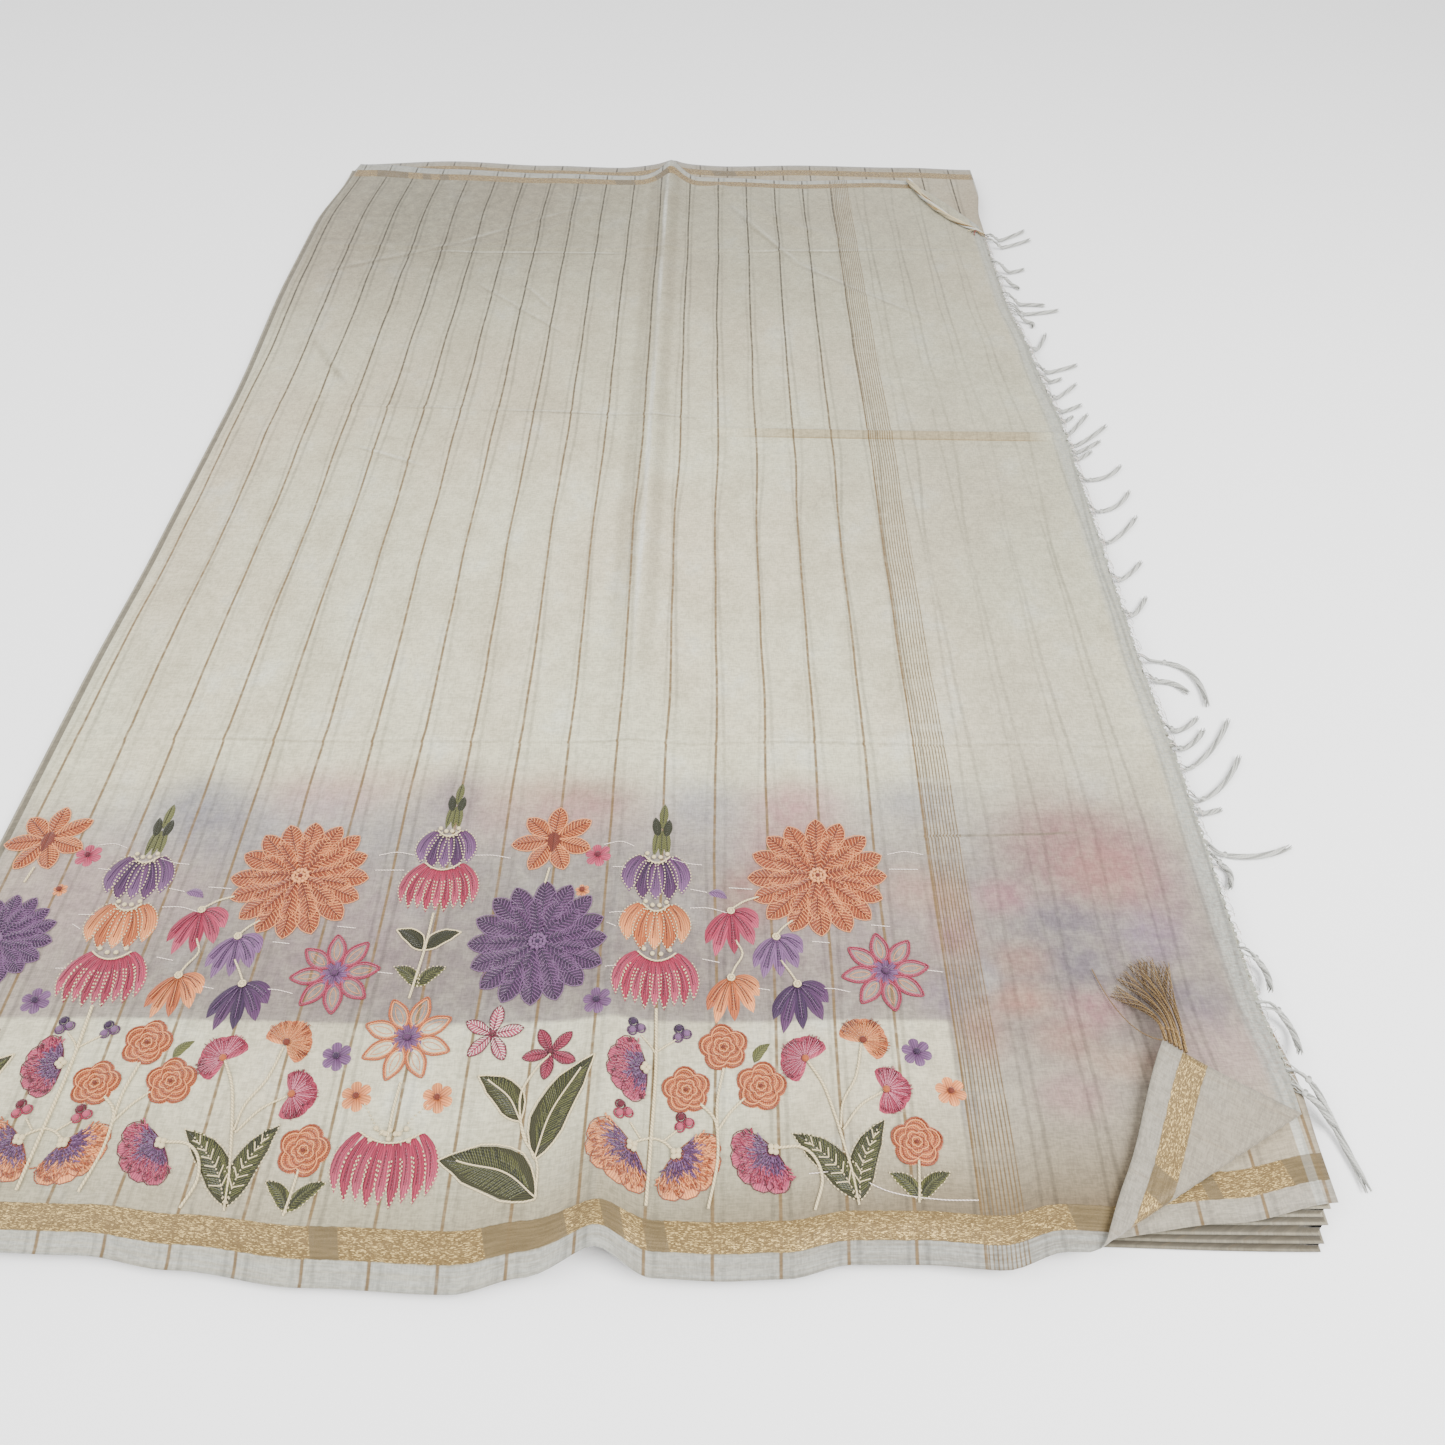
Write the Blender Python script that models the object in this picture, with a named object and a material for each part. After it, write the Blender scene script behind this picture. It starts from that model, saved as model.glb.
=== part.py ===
"""A sari folded in eight and laid flat, with its embroidered border and free end on top.

Metres, +Z up. +X points to the free end with its knotted fringe and +Y to the far
border. The origin is on the floor, below the middle of the folded cloth.
A flat position (u, v) is a place on the upper cloth before it is pulled out of true.
"""
import math

import bmesh
import bpy
from mathutils import Vector
from mathutils.geometry import delaunay_2d_cdt

MM = 0.001

# The folded cloth
FOLD_U = -0.3665
FREE_END_U = 0.3205
NEAR_V = -0.5725
FAR_V = 0.5450
WALL = 1.0 * MM
SEAM_GAP = 0.3 * MM
LAYER_GAP = 0.5 * MM

# The pile of hidden layers
LAYER_HEIGHT = 1.65 * MM
GROOVE = 2.2 * MM
FLOOR_ROUND = 0.8 * MM
PILE_STOPS = 16
# Bottom layer first: near edge at the left and right, right edge near and far,
# far edge at the left and right, in millimetres.
LAYER_COLUMNS = ("near_left", "near_right", "right_near", "right_far", "far_left", "far_right")
LAYER_EDGES = (
    (-549, -559, 317, 307, 557, 545),
    (-547, -556, 319, 311, 553, 540),
    (-548, -553, 318, 305, 559, 547),
    (-545, -549, 322, 310, 554, 542),
    (-546, -546, 320, 306, 560, 549),
    (-543, -543, 324, 309, 556, 545),
)
PILE_TOP = len(LAYER_EDGES) * LAYER_HEIGHT

# Heights of the middle of the two upper walls
SECOND_Z = PILE_TOP + LAYER_GAP + WALL / 2
TOP_Z = SECOND_Z + WALL + LAYER_GAP
ROLL_RADIUS = TOP_Z - 2.2 * MM
ROLL_U = FOLD_U + ROLL_RADIUS
ROLL_DROP = 1.2 * MM
LEFT_U = ROLL_U - math.pi / 2 * ROLL_RADIUS - ROLL_DROP

# How far the edges are pulled out of true: place along the edge, pull, in millimetres
NEAR_PULL = (
    (-372, 5), (-300, 12), (-237, 10), (-194, 4), (-135, -3), (-70, -6), (-40, 0), (-8, 10),
    (18, 0), (47, -1), (76, 0), (106, 6), (137, 6), (174, 3), (200, 10), (250, 7), (321, 0),
)
FAR_PULL = (
    (-372, 22), (-340, 18), (-250, 5), (-136, -6), (-40, -13), (-6, 4), (24, -17), (54, -18),
    (130, -25), (216, -20), (252, -24), (321, -24),
)
LEFT_PULL = ((-572, -2), (-217, -2), (-80, 1), (107, 2), (320, -5), (430, -5), (545, 6))
FREE_PULL = (
    (-572, 0), (-490, 3), (-440, -1), (-313, 0), (-185, -2), (60, 0), (180, -6), (270, -13),
    (405, -14), (545, -14),
)
PULL_REACH = 75 * MM

# The pressed middle fold: place along v and height, in millimetres
RIDGE_U = -6.5 * MM
RIDGE_REACH = 12 * MM
RIDGE = (
    (-572, 8.0), (-535, 6.5), (-470, 3.6), (-300, 2.2), (0, 1.8), (300, 2.0), (430, 3.5),
    (510, 7.0), (545, 10.0),
)
SECOND_RIDGE_SHARE = 0.45

# The second stretch's edges, in millimetres: (u, v) near and far, (v, u) on the right
SECOND_NEAR = ((-353, -540), (150, -543), (186, -548), (207, -557), (272, -550), (324, -541), (331, -539))
SECOND_RIGHT = (
    (-517, 327), (-488, 328), (-440, 322), (-380, 316), (100, 314), (300, 309), (437, 311), (500, 318),
)
SECOND_FAR = (
    (320, 552), (250, 558), (133, 563), (60, 560), (-6, 566), (-60, 557), (-140, 563), (-250, 574),
    (-353, 566),
)

# Storage folds and creases: height, reach and the line they follow, in millimetres
CREASES = (
    (0.9, 4.0, ((-390, -262), (340, -268))),
    (0.9, 4.0, ((-390, 100), (-180, 92), (36, 59))),
    (3.2, 3.6, ((36, 59), (180, 55), (340, 52))),
    (0.9, 4.0, ((-390, 374), (340, 362))),
    (2.4, 6.0, ((46, 515), (117, 420), (170, 386))),
    (2.0, 6.0, ((61, 458), (118, 338), (174, 278), (234, 235))),
    (1.2, 11.0, ((-252, 316), (-281, 168), (-311, 70), (-350, -8))),
    (1.0, 4.5, ((-225, 358), (-134, 402), (-77, 447))),
    (0.9, 3.5, ((189, -20), (288, -24))),
)
SWELL = 0.8 * MM
SWELL_ACROSS = 0.058
SWELL_LENGTHWAYS = 0.074
SWELL_BROAD = 0.19

# How far the near edge hangs over the pile: place along u and drop, in millimetres
HANG = (
    (-356, 0), (-325, 4), (-237, 5), (-135, 6.5), (-60, 6), (-32, 3), (-6, 0), (20, 4), (60, 5),
    (140, 5), (168, 3), (185, 0),
)
HANG_REACH = 19 * MM

# The turned-up corner: a point of its fold line, the line's angle and the roll's radius
TURN_X = 203.5 * MM
TURN_Y = -565.5 * MM
TURN_ANGLE = math.radians(29.1)
TURN_RADIUS = 2.2 * MM
TURN_LIFT = 8 * MM
TURN_DEPTH = 64 * MM
TURN_OUT = (math.sin(TURN_ANGLE), -math.cos(TURN_ANGLE))
TURN_STEPS = 4
TURN_PIECES = 6
TURN_TOP_V = -0.48

# The far corner of the free end, where the cloth is pulled in to its twist
TWIST_START = (252 * MM, FAR_V)
TWIST_END = (FREE_END_U, 419 * MM)

# The wall's mesh
GRID_U = 56 * MM
GRID_V = 58 * MM
SECOND_GRID_U = 73 * MM
EDGE_STEP = 25 * MM
FREE_END_STEP = 13 * MM
EDGE_ROWS = (6 * MM, 13 * MM, 21 * MM, 32 * MM)
FLAP_STEP = 22 * MM
CREASE_STEP = 36 * MM
CREASE_FOOT = 1.3
RIDGE_OFFSETS = (-2.2, -0.9, 0.0, 0.9, 2.2)
POINT_CLEAR = 2.6 * MM
ROLL_STEPS = 4
FLAT_COLUMNS = (ROLL_U + 1.5 * ROLL_RADIUS, ROLL_U + 3 * ROLL_RADIUS)

# Embroidery
STITCH_RISE = 0.9 * MM
SECOND_TIER_RISE = 1.5 * MM
STITCH_EDGE = 1.1 * MM
REPEAT = 285 * MM
BORDER_LEFT = -0.364
BORDER_RIGHT = 0.166
BORDER_TOP = -0.288
SMALLEST_FIT = 0.7
# One repeat of the border: motif, centre u, centre v, width and height in millimetres, turn in degrees
MOTIFS = (
    ("bud", -271, -336, 13, 38, 0),
    ("bell", -271, -370, 37, 24, 0),
    ("bell", -271, -400, 38, 24, 0),
    ("bell", -271, -432, 46, 29, 0),
    ("dahlia", -184, -367, 79, 79, 0),
    ("dahlia", -49, -408, 75, 75, 0),
    ("seven_petals", -48, -345, 39, 39, 0),
    ("bud", -107, -317, 12, 32, 0),
    ("bell", -107, -347, 34, 21, 0),
    ("bell", -107, -374, 43, 26, 0),
    ("leaf", -117, -407, 15, 8, 140),
    ("leaf", -98, -407, 15, 8, 40),
    ("leaf", -115, -429, 13, 7, 140),
    ("leaf", -101, -429, 13, 7, 40),
    ("tulip", -236, -401, 25, 24, -18),
    ("tulip", -207, -420, 25, 24, 5),
    ("tulip", -231, -441, 23, 24, 0),
    ("tulip", -201, -449, 25, 24, -8),
    ("leaf", -239, -378, 10, 5, -20),
    ("floret", -304, -353, 14, 14, 0),
    ("daisy", -153, -426, 43, 43, 0),
    ("daisy", -107, -462, 43, 43, 20),
    ("star", -67, -460, 27, 27, 0),
    ("star", -37, -467, 25, 25, 30),
    ("floret", -16, -449, 13, 13, 0),
    ("floret", -141, -471, 14, 14, 0),
    ("floret", -128, -492, 13, 13, 0),
    ("floret", -86, -492, 13, 13, 0),
    ("rose", -236, -468, 24, 23, 0),
    ("rose", -254, -490, 23, 22, 0),
    ("rose", -217, -489, 23, 22, 0),
    ("carnation", -196, -476, 27, 18, 15),
    ("carnation", -167, -463, 27, 18, -5),
    ("carnation", -159, -489, 25, 17, -30),
    ("leaf", -190, -526, 38, 15, 125),
    ("leaf", -167, -526, 38, 15, 60),
    ("half_flower", -219, -524, 26, 26, 125),
    ("rose", -146, -518, 21, 20, 0),
    ("leaf", -153, -535, 14, 7, 150),
    ("leaf", -138, -535, 14, 7, 30),
    ("fan", -107, -525, 46, 30, 180),
    ("leaf", -60, -530, 45, 19, 158),
    ("leaf", -26, -500, 48, 17, 68),
    ("leaf", -57, -493, 27, 10, 130),
    ("half_flower", -285, -524, 27, 26, 150),
    ("half_flower", -255, -525, 27, 26, -150),
    ("berry", -284, -503, 9, 9, 0),
    ("berry", -256, -505, 9, 9, 0),
    ("half_flower", -282, -482, 24, 24, 130),
)

# Strands of the fringe: root v, a point on the way and the tip, in millimetres
STRANDS = (
    (-486, 331, -494, 342, -504), (-478, 341, -481, 348, -533), (-443, 346, -443, 335, -468),
    (-413, 343, -412, 331, -434), (-349, 343, -349, 332, -367), (-338, 348, -352, 376, -338),
    (-318, 332, -315, 344, -311), (-308, 347, -305, 367, -270), (-287, 348, -276, 369, -240),
    (-268, 340, -266, 351, -248), (-250, 336, -254, 350, -238), (-212, 341, -199, 350, -217),
    (-190, 366, -180, 359, -228), (-153, 335, -145, 345, -125), (-114, 337, -107, 351, -87),
    (-73, 342, -64, 360, -35), (-29, 347, -34, 362, -4), (12, 347, 4, 363, 29),
    (31, 332, 36, 344, 48), (40, 335, 46, 354, 62), (49, 338, 55, 364, 84),
    (57, 332, 72, 352, 100), (81, 329, 86, 339, 97), (98, 333, 103, 350, 114),
    (114, 332, 122, 352, 146), (141, 328, 147, 341, 154), (160, 333, 162, 359, 176),
    (186, 330, 196, 341, 228), (250, 340, 252, 331, 240), (262, 338, 262, 361, 270),
    (279, 333, 282, 350, 279), (308, 328, 324, 331, 310), (342, 328, 339, 343, 349),
    (388, 340, 396, 360, 411), (397, 338, 413, 357, 430),
)
STRIP = 2.2 * MM
STRAND_ROOT = 1.7 * MM
STRAND_RADIUS = 0.8 * MM
STRAND_STEPS = 5
KNOT_PLACE = 2
KNOT_SWELL = 1.7
STRAND_REST = 1.7 * MM
STRAND_FALL = 17 * MM
STRAND_ARCH = 0.8 * MM
STRAND_TAPER = 0.35
LOOK = 0.05

# Gold threads at the turned corner: root v, a point on the way and the tip, in millimetres
GOLD_THREADS = (
    (-571.3, 256, -452, 243, -439), (-568.7, 262, -449, 251, -431), (-566.1, 265, -446, 258, -425),
    (-563.5, 269, -446, 267, -422), (-560.9, 274, -448, 276, -424),
)
GOLD_ROOT = 1.6 * MM
GOLD_RADIUS = 0.7 * MM
GOLD_REST = TOP_Z + WALL / 2 + 2.4 * MM
GOLD_FALL_START = 0.12

# The twisted corner: route in millimetres, radius of the rope there, turns of the twist
TWIST_ROUTE = (
    (246, 515, 2.6), (251, 498, 3.0), (258, 474, 2.8), (267, 450, 2.6), (280, 427, 2.4),
    (293, 411, 2.2), (303, 402, 1.6), (309, 395, 0.9),
)
TWIST_SIDES = 6
TWIST_TURNS = 2.5
TWIST_STEPS = 22
TWIST_PINCH = 0.72
TWIST_LIFT = 0.72 * MM


def clear_scene():
    for thing in list(bpy.data.objects):
        bpy.data.objects.remove(thing, do_unlink=True)


def finish_material(name, colour, roughness, metallic=0.0):
    material = bpy.data.materials.new(name)
    material.use_nodes = True
    shader = material.node_tree.nodes["Principled BSDF"]
    shader.inputs["Base Color"].default_value = (*colour, 1.0)
    shader.inputs["Roughness"].default_value = roughness
    shader.inputs["Metallic"].default_value = metallic
    return material


def ease(t):
    """A smooth step from 0 to 1."""
    t = min(max(t, 0.0), 1.0)
    return t * t * (3 - 2 * t)


def along(rows, place):
    """A table's value at a place in metres, eased between its rows in millimetres."""
    place = place / MM
    if place <= rows[0][0]:
        return rows[0][1] * MM
    for low, high in zip(rows, rows[1:]):
        if place <= high[0]:
            share = ease((place - low[0]) / (high[0] - low[0]))
            return (low[1] + (high[1] - low[1]) * share) * MM
    return rows[-1][1] * MM


def distance_to(route, u, v):
    """Distance from a point to a line of straight runs, all in millimetres."""
    best = math.inf
    for (u0, v0), (u1, v1) in zip(route, route[1:]):
        run = (u1 - u0, v1 - v0)
        t = ((u - u0) * run[0] + (v - v0) * run[1]) / (run[0] ** 2 + run[1] ** 2)
        t = min(max(t, 0.0), 1.0)
        best = min(best, math.hypot(u - u0 - t * run[0], v - v0 - t * run[1]))
    return best


def past_roll(u):
    """Share of the cloth's unevenness that shows at u: none on the rolled left fold."""
    return ease((u - ROLL_U) / (3 * ROLL_RADIUS))


def swell(u, v):
    """Broad unevenness that both upper stretches share, never below zero."""
    across = math.sin(u / SWELL_ACROSS + 1.1)
    lengthways = math.sin(v / SWELL_LENGTHWAYS + 0.4) * math.cos(u / SWELL_BROAD)
    return past_roll(u) * SWELL * (2 + across + lengthways) / 4


def ridge(u, v):
    """The middle fold, a soft ridge that is highest at the two borders."""
    return along(RIDGE, v) * (1 + ((u - RIDGE_U) / RIDGE_REACH) ** 2) ** -1.5


def crease(u, v):
    """The highest of the storage folds and creases at this place."""
    best = 0.0
    for height, reach, route in CREASES:
        away = distance_to(route, u / MM, v / MM) / reach
        best = max(best, height * MM * math.exp(-away * away))
    return best


def hang(u, v):
    """How far the near edge has come down over the edge of the pile."""
    return along(HANG, u) * ease((NEAR_V + HANG_REACH - v) / HANG_REACH)


def left_pull(u, v):
    """How far the left fold's bow moves a place."""
    return along(LEFT_PULL, v) * math.exp(-max(u - ROLL_U, 0.0) / PULL_REACH)


def pulled(u, v):
    """Where a flat position lies in plan, with the edges pulled out of true."""
    x = u + left_pull(u, v)
    x += along(FREE_PULL, v) * math.exp(-abs(FREE_END_U - u) / PULL_REACH)
    y = v + along(NEAR_PULL, u) * math.exp(-abs(v - NEAR_V) / PULL_REACH)
    y += along(FAR_PULL, u) * math.exp(-abs(FAR_V - v) / PULL_REACH)
    return x, y


def past_turn(x, y):
    """Distance of a place in plan beyond the turned corner's fold line."""
    return (x - TURN_X) * TURN_OUT[0] + (y - TURN_Y) * TURN_OUT[1]


def top_middle(u, v):
    """A point of the middle of the upper wall."""
    x, y = pulled(u, v)
    z = TOP_Z + swell(u, v) + ridge(u, v) + past_roll(u) * crease(u, v) - hang(u, v)
    if u < ROLL_U:
        run = ROLL_U - u
        angle = min(run / ROLL_RADIUS, math.pi / 2)
        x += run - ROLL_RADIUS * math.sin(angle)
        z -= ROLL_RADIUS * (1 - math.cos(angle)) + run - ROLL_RADIUS * angle
    beyond = past_turn(x, y)
    if beyond > 0:
        angle = min(beyond / TURN_RADIUS, math.pi)
        back = TURN_RADIUS * (math.sin(angle) + angle) - 2 * beyond
        if angle < math.pi:
            back = TURN_RADIUS * math.sin(angle) - beyond
        x += back * TURN_OUT[0]
        y += back * TURN_OUT[1]
        z += TURN_RADIUS * (1 - math.cos(angle)) + TURN_LIFT * (beyond / TURN_DEPTH) ** 2
    return Vector((x, y, z))


def second_middle(u, v):
    """A point of the middle of the second stretch."""
    return Vector((u + left_pull(u, v), v, SECOND_Z + swell(u, v) + SECOND_RIDGE_SHARE * ridge(u, v)))


def off_surface(middle, u, v, rise):
    """A point moved off a surface along its normal."""
    step = 0.2 * MM
    across = middle(u + step, v) - middle(u - step, v)
    lengthways = middle(u, v + step) - middle(u, v - step)
    return middle(u, v) + across.cross(lengthways).normalized() * rise


def steps_between(start, end, longest):
    """Evenly spaced stops from start to end, both included."""
    count = max(1, math.ceil(abs(end - start) / longest))
    return [start + (end - start) * k / count for k in range(count + 1)]


def inside(ring, u, v):
    """Whether a point is inside a closed ring."""
    result = False
    for (u0, v0), (u1, v1) in zip(ring, ring[1:] + ring[:1]):
        if (v0 > v) != (v1 > v) and u < (u1 - u0) * (v - v0) / (v1 - v0) + u0:
            result = not result
    return result


def ring_distance(ring, u, v):
    return distance_to(ring + ring[:1], u, v)


def flower_ring(petals, valley, tips):
    """A round flower of unit radius: tips gives each petal's points as (share of the step, radius)."""
    step = 2 * math.pi / petals
    ring = []
    for petal in range(petals):
        ring.append((valley, (petal - 0.5) * step))
        ring.extend((radius, (petal + share) * step) for share, radius in tips)
    return [(radius * math.sin(angle), radius * math.cos(angle)) for radius, angle in ring]


BLUNT_PETAL = ((-0.2, 0.97), (0.2, 0.97))
POINTED_PETAL = ((-0.22, 0.8), (0.0, 1.0), (0.22, 0.8))


def scalloped(start, end, lobes, valley, radius):
    """An arc of lobes about the origin, angles in degrees from +Y."""
    points = []
    step = (end - start) / lobes
    for lobe in range(lobes):
        for share, reach in ((0.0, valley), (0.3, radius), (0.7, radius)):
            angle = math.radians(start + (lobe + share) * step)
            points.append((reach * math.sin(angle), reach * math.cos(angle)))
    angle = math.radians(end)
    points.append((valley * math.sin(angle), valley * math.cos(angle)))
    return points


# Outlines that fill a square from -1 to 1, one closed ring for each tier
BELL = (
    (-0.12, 1.0), (-0.7, 0.35), (-1.0, -0.75), (-0.72, -0.5), (-0.52, -1.0), (-0.28, -0.62), (0.0, -1.0),
    (0.28, -0.62), (0.52, -1.0), (0.72, -0.5), (1.0, -0.75), (0.7, 0.35), (0.12, 1.0),
)
TULIP = (
    (-0.14, 1.0), (-0.85, 0.2), (-0.95, -0.8), (-0.42, -0.45), (0.0, -1.0), (0.42, -0.45), (0.95, -0.8),
    (0.85, 0.2), (0.14, 1.0),
)
BUD = ((0.0, 1.0), (-0.5, 0.3), (-0.85, -0.2), (-0.9, -0.95), (0.9, -0.95), (0.85, -0.2), (0.5, 0.3))
LEAF = (
    (1.0, 0.0), (0.55, 0.72), (0.0, 1.0), (-0.6, 0.7), (-1.0, 0.0), (-0.6, -0.7), (0.0, -1.0),
    (0.55, -0.72),
)
CARNATION = [(-0.12, -1.0)] + scalloped(-62, 62, 4, 1.5, 1.85) + [(0.12, -1.0)]
CARNATION = [(u / 1.55, v / 1.4 if v > 0 else v) for u, v in CARNATION]
HALF_FLOWER = [(-0.25, -0.95)] + scalloped(-75, 75, 5, 1.5, 1.8) + [(0.25, -0.95)]
HALF_FLOWER = [(u / 1.75, v / 0.95 - 0.9 if v > 0 else v) for u, v in HALF_FLOWER]
FAN = [(-0.1, -1.0)] + [(u, v - 1.0) for u, v in scalloped(-52, 52, 6, 1.62, 1.95)] + [(0.1, -1.0)]
FAN = [(u / 1.4, v) for u, v in FAN]
DAHLIA_HEART = [(0.6 * u, 0.6 * v) for u, v in flower_ring(8, 0.8, BLUNT_PETAL)]

SHAPES = {
    "dahlia": (flower_ring(16, 0.86, BLUNT_PETAL), DAHLIA_HEART),
    "seven_petals": (flower_ring(7, 0.42, POINTED_PETAL),),
    "daisy": (flower_ring(8, 0.45, POINTED_PETAL),),
    "star": (flower_ring(5, 0.36, POINTED_PETAL),),
    "floret": (flower_ring(5, 0.68, BLUNT_PETAL),),
    "rose": (flower_ring(5, 0.86, BLUNT_PETAL),),
    "berry": (flower_ring(3, 0.7, BLUNT_PETAL),),
    "bell": (BELL,),
    "tulip": (TULIP,),
    "bud": (BUD,),
    "leaf": (LEAF,),
    "carnation": (CARNATION,),
    "half_flower": (HALF_FLOWER,),
    "fan": (FAN,),
}


def motif_rings():
    """Each raised motif as (foot ring, top ring, foot rise, top rise), rings in metres."""
    tiers = ((0.0, STITCH_RISE), (STITCH_RISE, SECOND_TIER_RISE))
    rings = []
    for repeat in (-1, 0, 1):
        for kind, u, v, width, height, turn in MOTIFS:
            centre = u * MM + repeat * REPEAT
            reach = max(width, height) / 2 * MM
            fit = min((centre - BORDER_LEFT) / reach, 1.0)
            if fit < SMALLEST_FIT or centre + reach > BORDER_RIGHT:
                continue
            width, height = width * fit, height * fit
            cos, sin = math.cos(math.radians(turn)), math.sin(math.radians(turn))
            inset = 1 - STITCH_EDGE / (min(width, height) / 2 * MM)
            for shape, (foot, top) in zip(SHAPES[kind], tiers):
                local = [(a * width / 2 * MM, b * height / 2 * MM) for a, b in shape]
                pair = []
                for scale in (1.0, inset):
                    pair.append([
                        (centre + scale * (a * cos - b * sin), v * MM + scale * (a * sin + b * cos))
                        for a, b in local
                    ])
                rings.append((*pair, foot, top))
    return rings


class FlatMesh:
    """Points and lines on the flat cloth, each point with its rise above the wall."""

    def __init__(self):
        self.points = []
        self.rises = []
        self.lines = []
        self.index = {}

    def point(self, u, v, rise=0.0):
        key = (round(u, 6), round(v, 6))
        if key not in self.index:
            self.index[key] = len(self.points)
            self.points.append((u, v))
            self.rises.append(rise)
        return self.index[key]

    def line(self, route, rise=0.0, closed=False):
        stops = [self.point(u, v, rise) for u, v in route]
        ends = stops[1:] + stops[:1] if closed else stops[1:]
        self.lines.extend((a, b) for a, b in zip(stops, ends) if a != b)

    def triangles(self):
        """Triangles that fill the outline, as points, rises and faces."""
        points = [Vector(point) for point in self.points]
        verts, _, faces, origins, _, _ = delaunay_2d_cdt(points, self.lines, [], 1, 1e-7)
        places = []
        rises = []
        for vert, origin in zip(verts, origins):
            places.append(self.points[origin[0]] if origin else (vert.x, vert.y))
            rises.append(self.rises[origin[0]] if origin else 0.0)
        faces = [face if turns_left(places, face) else face[::-1] for face in faces]
        return places, rises, faces


def turns_left(places, face):
    (u0, v0), (u1, v1), (u2, v2) = (places[index] for index in face[:3])
    return (u1 - u0) * (v2 - v0) - (v1 - v0) * (u2 - u0) > 0


def build_wall(name, outline, fill, lines, motifs, middle, material):
    """A wall of cloth: plain inside, outer face with its raised motifs, and their rim."""
    bm = bmesh.new()
    sides = {}
    for side, rings in (("inner", []), ("outer", motifs)):
        flat = FlatMesh()
        flat.line(outline, closed=True)
        for route in lines:
            flat.line(route)
        for foot_ring, top_ring, foot, top in rings:
            flat.line(foot_ring, foot, closed=True)
            flat.line(top_ring, top, closed=True)
        for u, v in fill:
            rise = 0.0
            for foot_ring, top_ring, foot, top in rings:
                if inside(foot_ring, u, v):
                    rise = max(rise, top)
                if min(ring_distance(foot_ring, u, v), ring_distance(top_ring, u, v)) < 3 * STITCH_EDGE:
                    rise = None
                    break
            if rise is not None:
                flat.point(u, v, rise)
        places, rises, faces = flat.triangles()
        sign = 1 if side == "outer" else -1
        made = []
        for (u, v), rise in zip(places, rises):
            made.append(bm.verts.new(off_surface(middle, u, v, sign * WALL / 2 + rise)))
        for face in faces:
            corners = [made[index] for index in face]
            bm.faces.new(corners if side == "outer" else corners[::-1])
        count = {}
        for face in faces:
            for a, b in zip(face, face[1:] + face[:1]):
                count[(a, b)] = count.get((a, b), 0) + 1
        rim = [(a, b) for a, b in count if (b, a) not in count]
        key = {}
        for edge in rim:
            for index in edge:
                key[index] = (round(places[index][0], 6), round(places[index][1], 6))
        sides[side] = (made, rim, key)
    outer, rim, key = sides["outer"]
    inner, _, inner_key = sides["inner"]
    match = {place: index for index, place in inner_key.items()}
    for a, b in rim:
        bm.faces.new((outer[b], outer[a], inner[match[key[a]]], inner[match[key[b]]]))
    return make_object(name, bm, material)


def make_object(name, bm, material):
    mesh = bpy.data.meshes.new(name)
    bmesh.ops.triangulate(bm, faces=[face for face in bm.faces if len(face.verts) > 3])
    bm.to_mesh(mesh)
    bm.free()
    mesh.materials.append(material)
    mesh.shade_smooth()
    thing = bpy.data.objects.new(name, mesh)
    bpy.context.scene.collection.objects.link(thing)
    return thing


def clipped(route, outline, clear):
    """The runs of a route that lie inside an outline, clear of it."""
    runs = [[]]
    for u, v in route:
        if inside(outline, u, v) and ring_distance(outline, u, v) > clear:
            runs[-1].append((u, v))
        elif runs[-1]:
            runs.append([])
    return [run for run in runs if run]


def crease_lines(outline):
    """Lines of stops along each crease, one on its crest and one on each of its feet."""
    found = []
    for _, reach, route in CREASES:
        for offset in (-CREASE_FOOT * reach, 0.0, CREASE_FOOT * reach):
            line = []
            for (u0, v0), (u1, v1) in zip(route, route[1:]):
                length = math.hypot(u1 - u0, v1 - v0)
                side = ((v0 - v1) / length * offset, (u1 - u0) / length * offset)
                for t in steps_between(0.0, 1.0, CREASE_STEP / MM / length)[bool(line):]:
                    stop = (u0 + (u1 - u0) * t + side[0], v0 + (v1 - v0) * t + side[1])
                    line.append((stop[0] * MM, stop[1] * MM))
            found += clipped(line, outline, POINT_CLEAR)
    return found


def ridge_lines(outline, low, high):
    """Lines of stops along the middle fold, on its crest and down both of its sides."""
    found = []
    for offset in RIDGE_OFFSETS:
        u = RIDGE_U + offset * RIDGE_REACH
        found += clipped([(u, v) for v in steps_between(low, high, GRID_V)], outline, POINT_CLEAR)
    return found


def fill_points(outline, lines, rows):
    """Points inside an outline, clear of it, of the lines' stops and of each other."""
    kept = [point for line in lines for point in line]
    first = len(kept)
    for u, v in rows:
        if not inside(outline, u, v) or ring_distance(outline, u, v) < POINT_CLEAR:
            continue
        if all(abs(u - a) > POINT_CLEAR or abs(v - b) > POINT_CLEAR for a, b in kept):
            kept.append((u, v))
    return kept[first:]


def turn_stop(fixed, low, high, beyond, across):
    """The place on an edge that lies so far beyond the corner's fold line."""
    for _ in range(40):
        half = (low + high) / 2
        u, v = (half, fixed) if across else (fixed, half)
        if (past_turn(*pulled(u, v)) < beyond) == across:
            low = half
        else:
            high = half
    return low


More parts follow.
